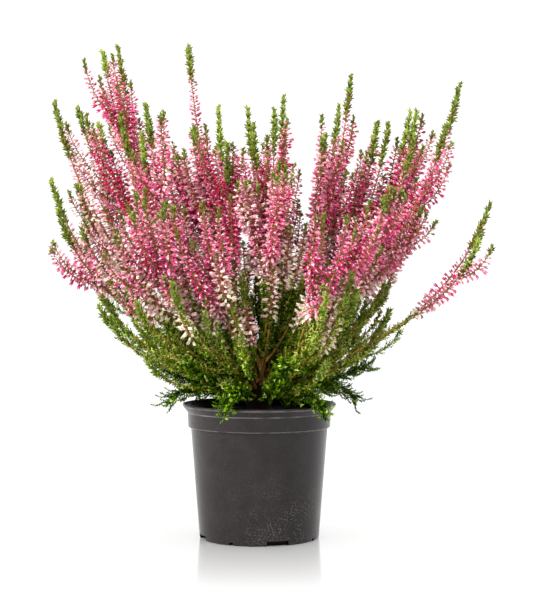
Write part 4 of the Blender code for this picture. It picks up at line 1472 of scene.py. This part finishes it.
# The near-white petal points: the petals, and a painted highlight on each floret.
petal_class = {"pale": (waxy_finish("petal_pale", PETAL_AND_HIGHLIGHT_PALE, PETAL_AND_HIGHLIGHT_DARK), NO_LEAST, PETALS_BELOW)}
deal_out("petals", floret_lines, petal_template, petal_class, floret_values, spike_nodes)
bract_class = {"green": (waxy_finish("bract_green", BRACT_GREEN, BRACT_DARK), NO_LEAST, NO_MOST)}
deal_out("bracts", floret_lines, stalk_template, bract_class, floret_values, spike_nodes)


# Green tips
# Above the bloom each spike grows on as a club of young scale leaves, in threes that stand out low
# down and close up towards its point. Long tips are the greenest.

NUB_LEAF = (0.0046, 0.00320, 0.00200)
NUB_TILT = 24.0
NUB_PITCH = 0.00125
NUB_LEANS = (72.0, 40.0)
NUB_SIZES = (0.75, 1.1, 0.8)
TIP_STEP = 0.006
TIP_OVERLAP = 0.002
SHORTEST_TIP = 0.003
LONG_TIP = 0.016
SHORT_TIP_SLIM = 0.76
TIP_TONES = {"long": (0.30, 0.75), "short": (0.05, 0.50)}
TIP_TONE_PLAY = 0.15
TIP_GREENS = {
    "olive": ((0.230, 0.205, 0.040), (0.080, 0.076, 0.016), NO_LEAST, 0.34),
    "leafy": ((0.210, 0.265, 0.045), (0.065, 0.100, 0.014), 0.34, 0.66),
    "lime": ((0.300, 0.370, 0.060), (0.130, 0.180, 0.024), 0.66, NO_MOST),
}

nub = bmesh.new()
for k in range(3):
    add_scale(nub, *NUB_LEAF, tilt=NUB_TILT, roll=120.0 * k)
nub_template = template_of("nub_template", finished(nub))
rng = random.Random("green tips")
tip_lines = []
for shoot in shoots:
    whole = length_of(shoot.path)
    start = shoot.bloom[1] * whole - TIP_OVERLAP
    if whole - start < SHORTEST_TIP:
        continue
    count = max(3, round((whole - start) / TIP_STEP))
    part = evenly(stretch_of(shoot.path, start, whole), count)
    long_tip = whole - start > LONG_TIP
    tone = rng.uniform(*TIP_TONES["long" if long_tip else "short"])
    slim = 1.0 if long_tip else SHORT_TIP_SLIM
    tip_lines.append((part, {
        "tone": tapered(tone - TIP_TONE_PLAY, tone + TIP_TONE_PLAY, count),
        "size": slim * np.interp(np.linspace(0.0, 1.0, count), (0.0, 0.3, 1.0), NUB_SIZES),
        "lean": tapered(*np.radians(NUB_LEANS), count)}))
tip_classes = {label: (waxy_finish(f"tip_{label}", pale, dark), low, high)
               for label, (pale, dark, low, high) in TIP_GREENS.items()}
deal_out("tips", tip_lines, nub_template, tip_classes, {
    "Pitch": NUB_PITCH, "Turn": GOLDEN_ANGLE, "Angle play": 0.16, "Size play": 0.2, "Tone play": 0.2,
    "Seed": 41}, spike_nodes)

# The templates have been copied, and go.
for template in (clod_template, fibre_template, pair_template, floret_template, petal_template,
                 stalk_template, nub_template):
    bpy.data.objects.remove(template)


# Sizes
# The model's box before and after dressing, for comparing the two.

plain = [[list(map(float, corner)) for corner in box] for box in (cad_box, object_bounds())]
{"cad": plain[0], "visual": plain[1]}
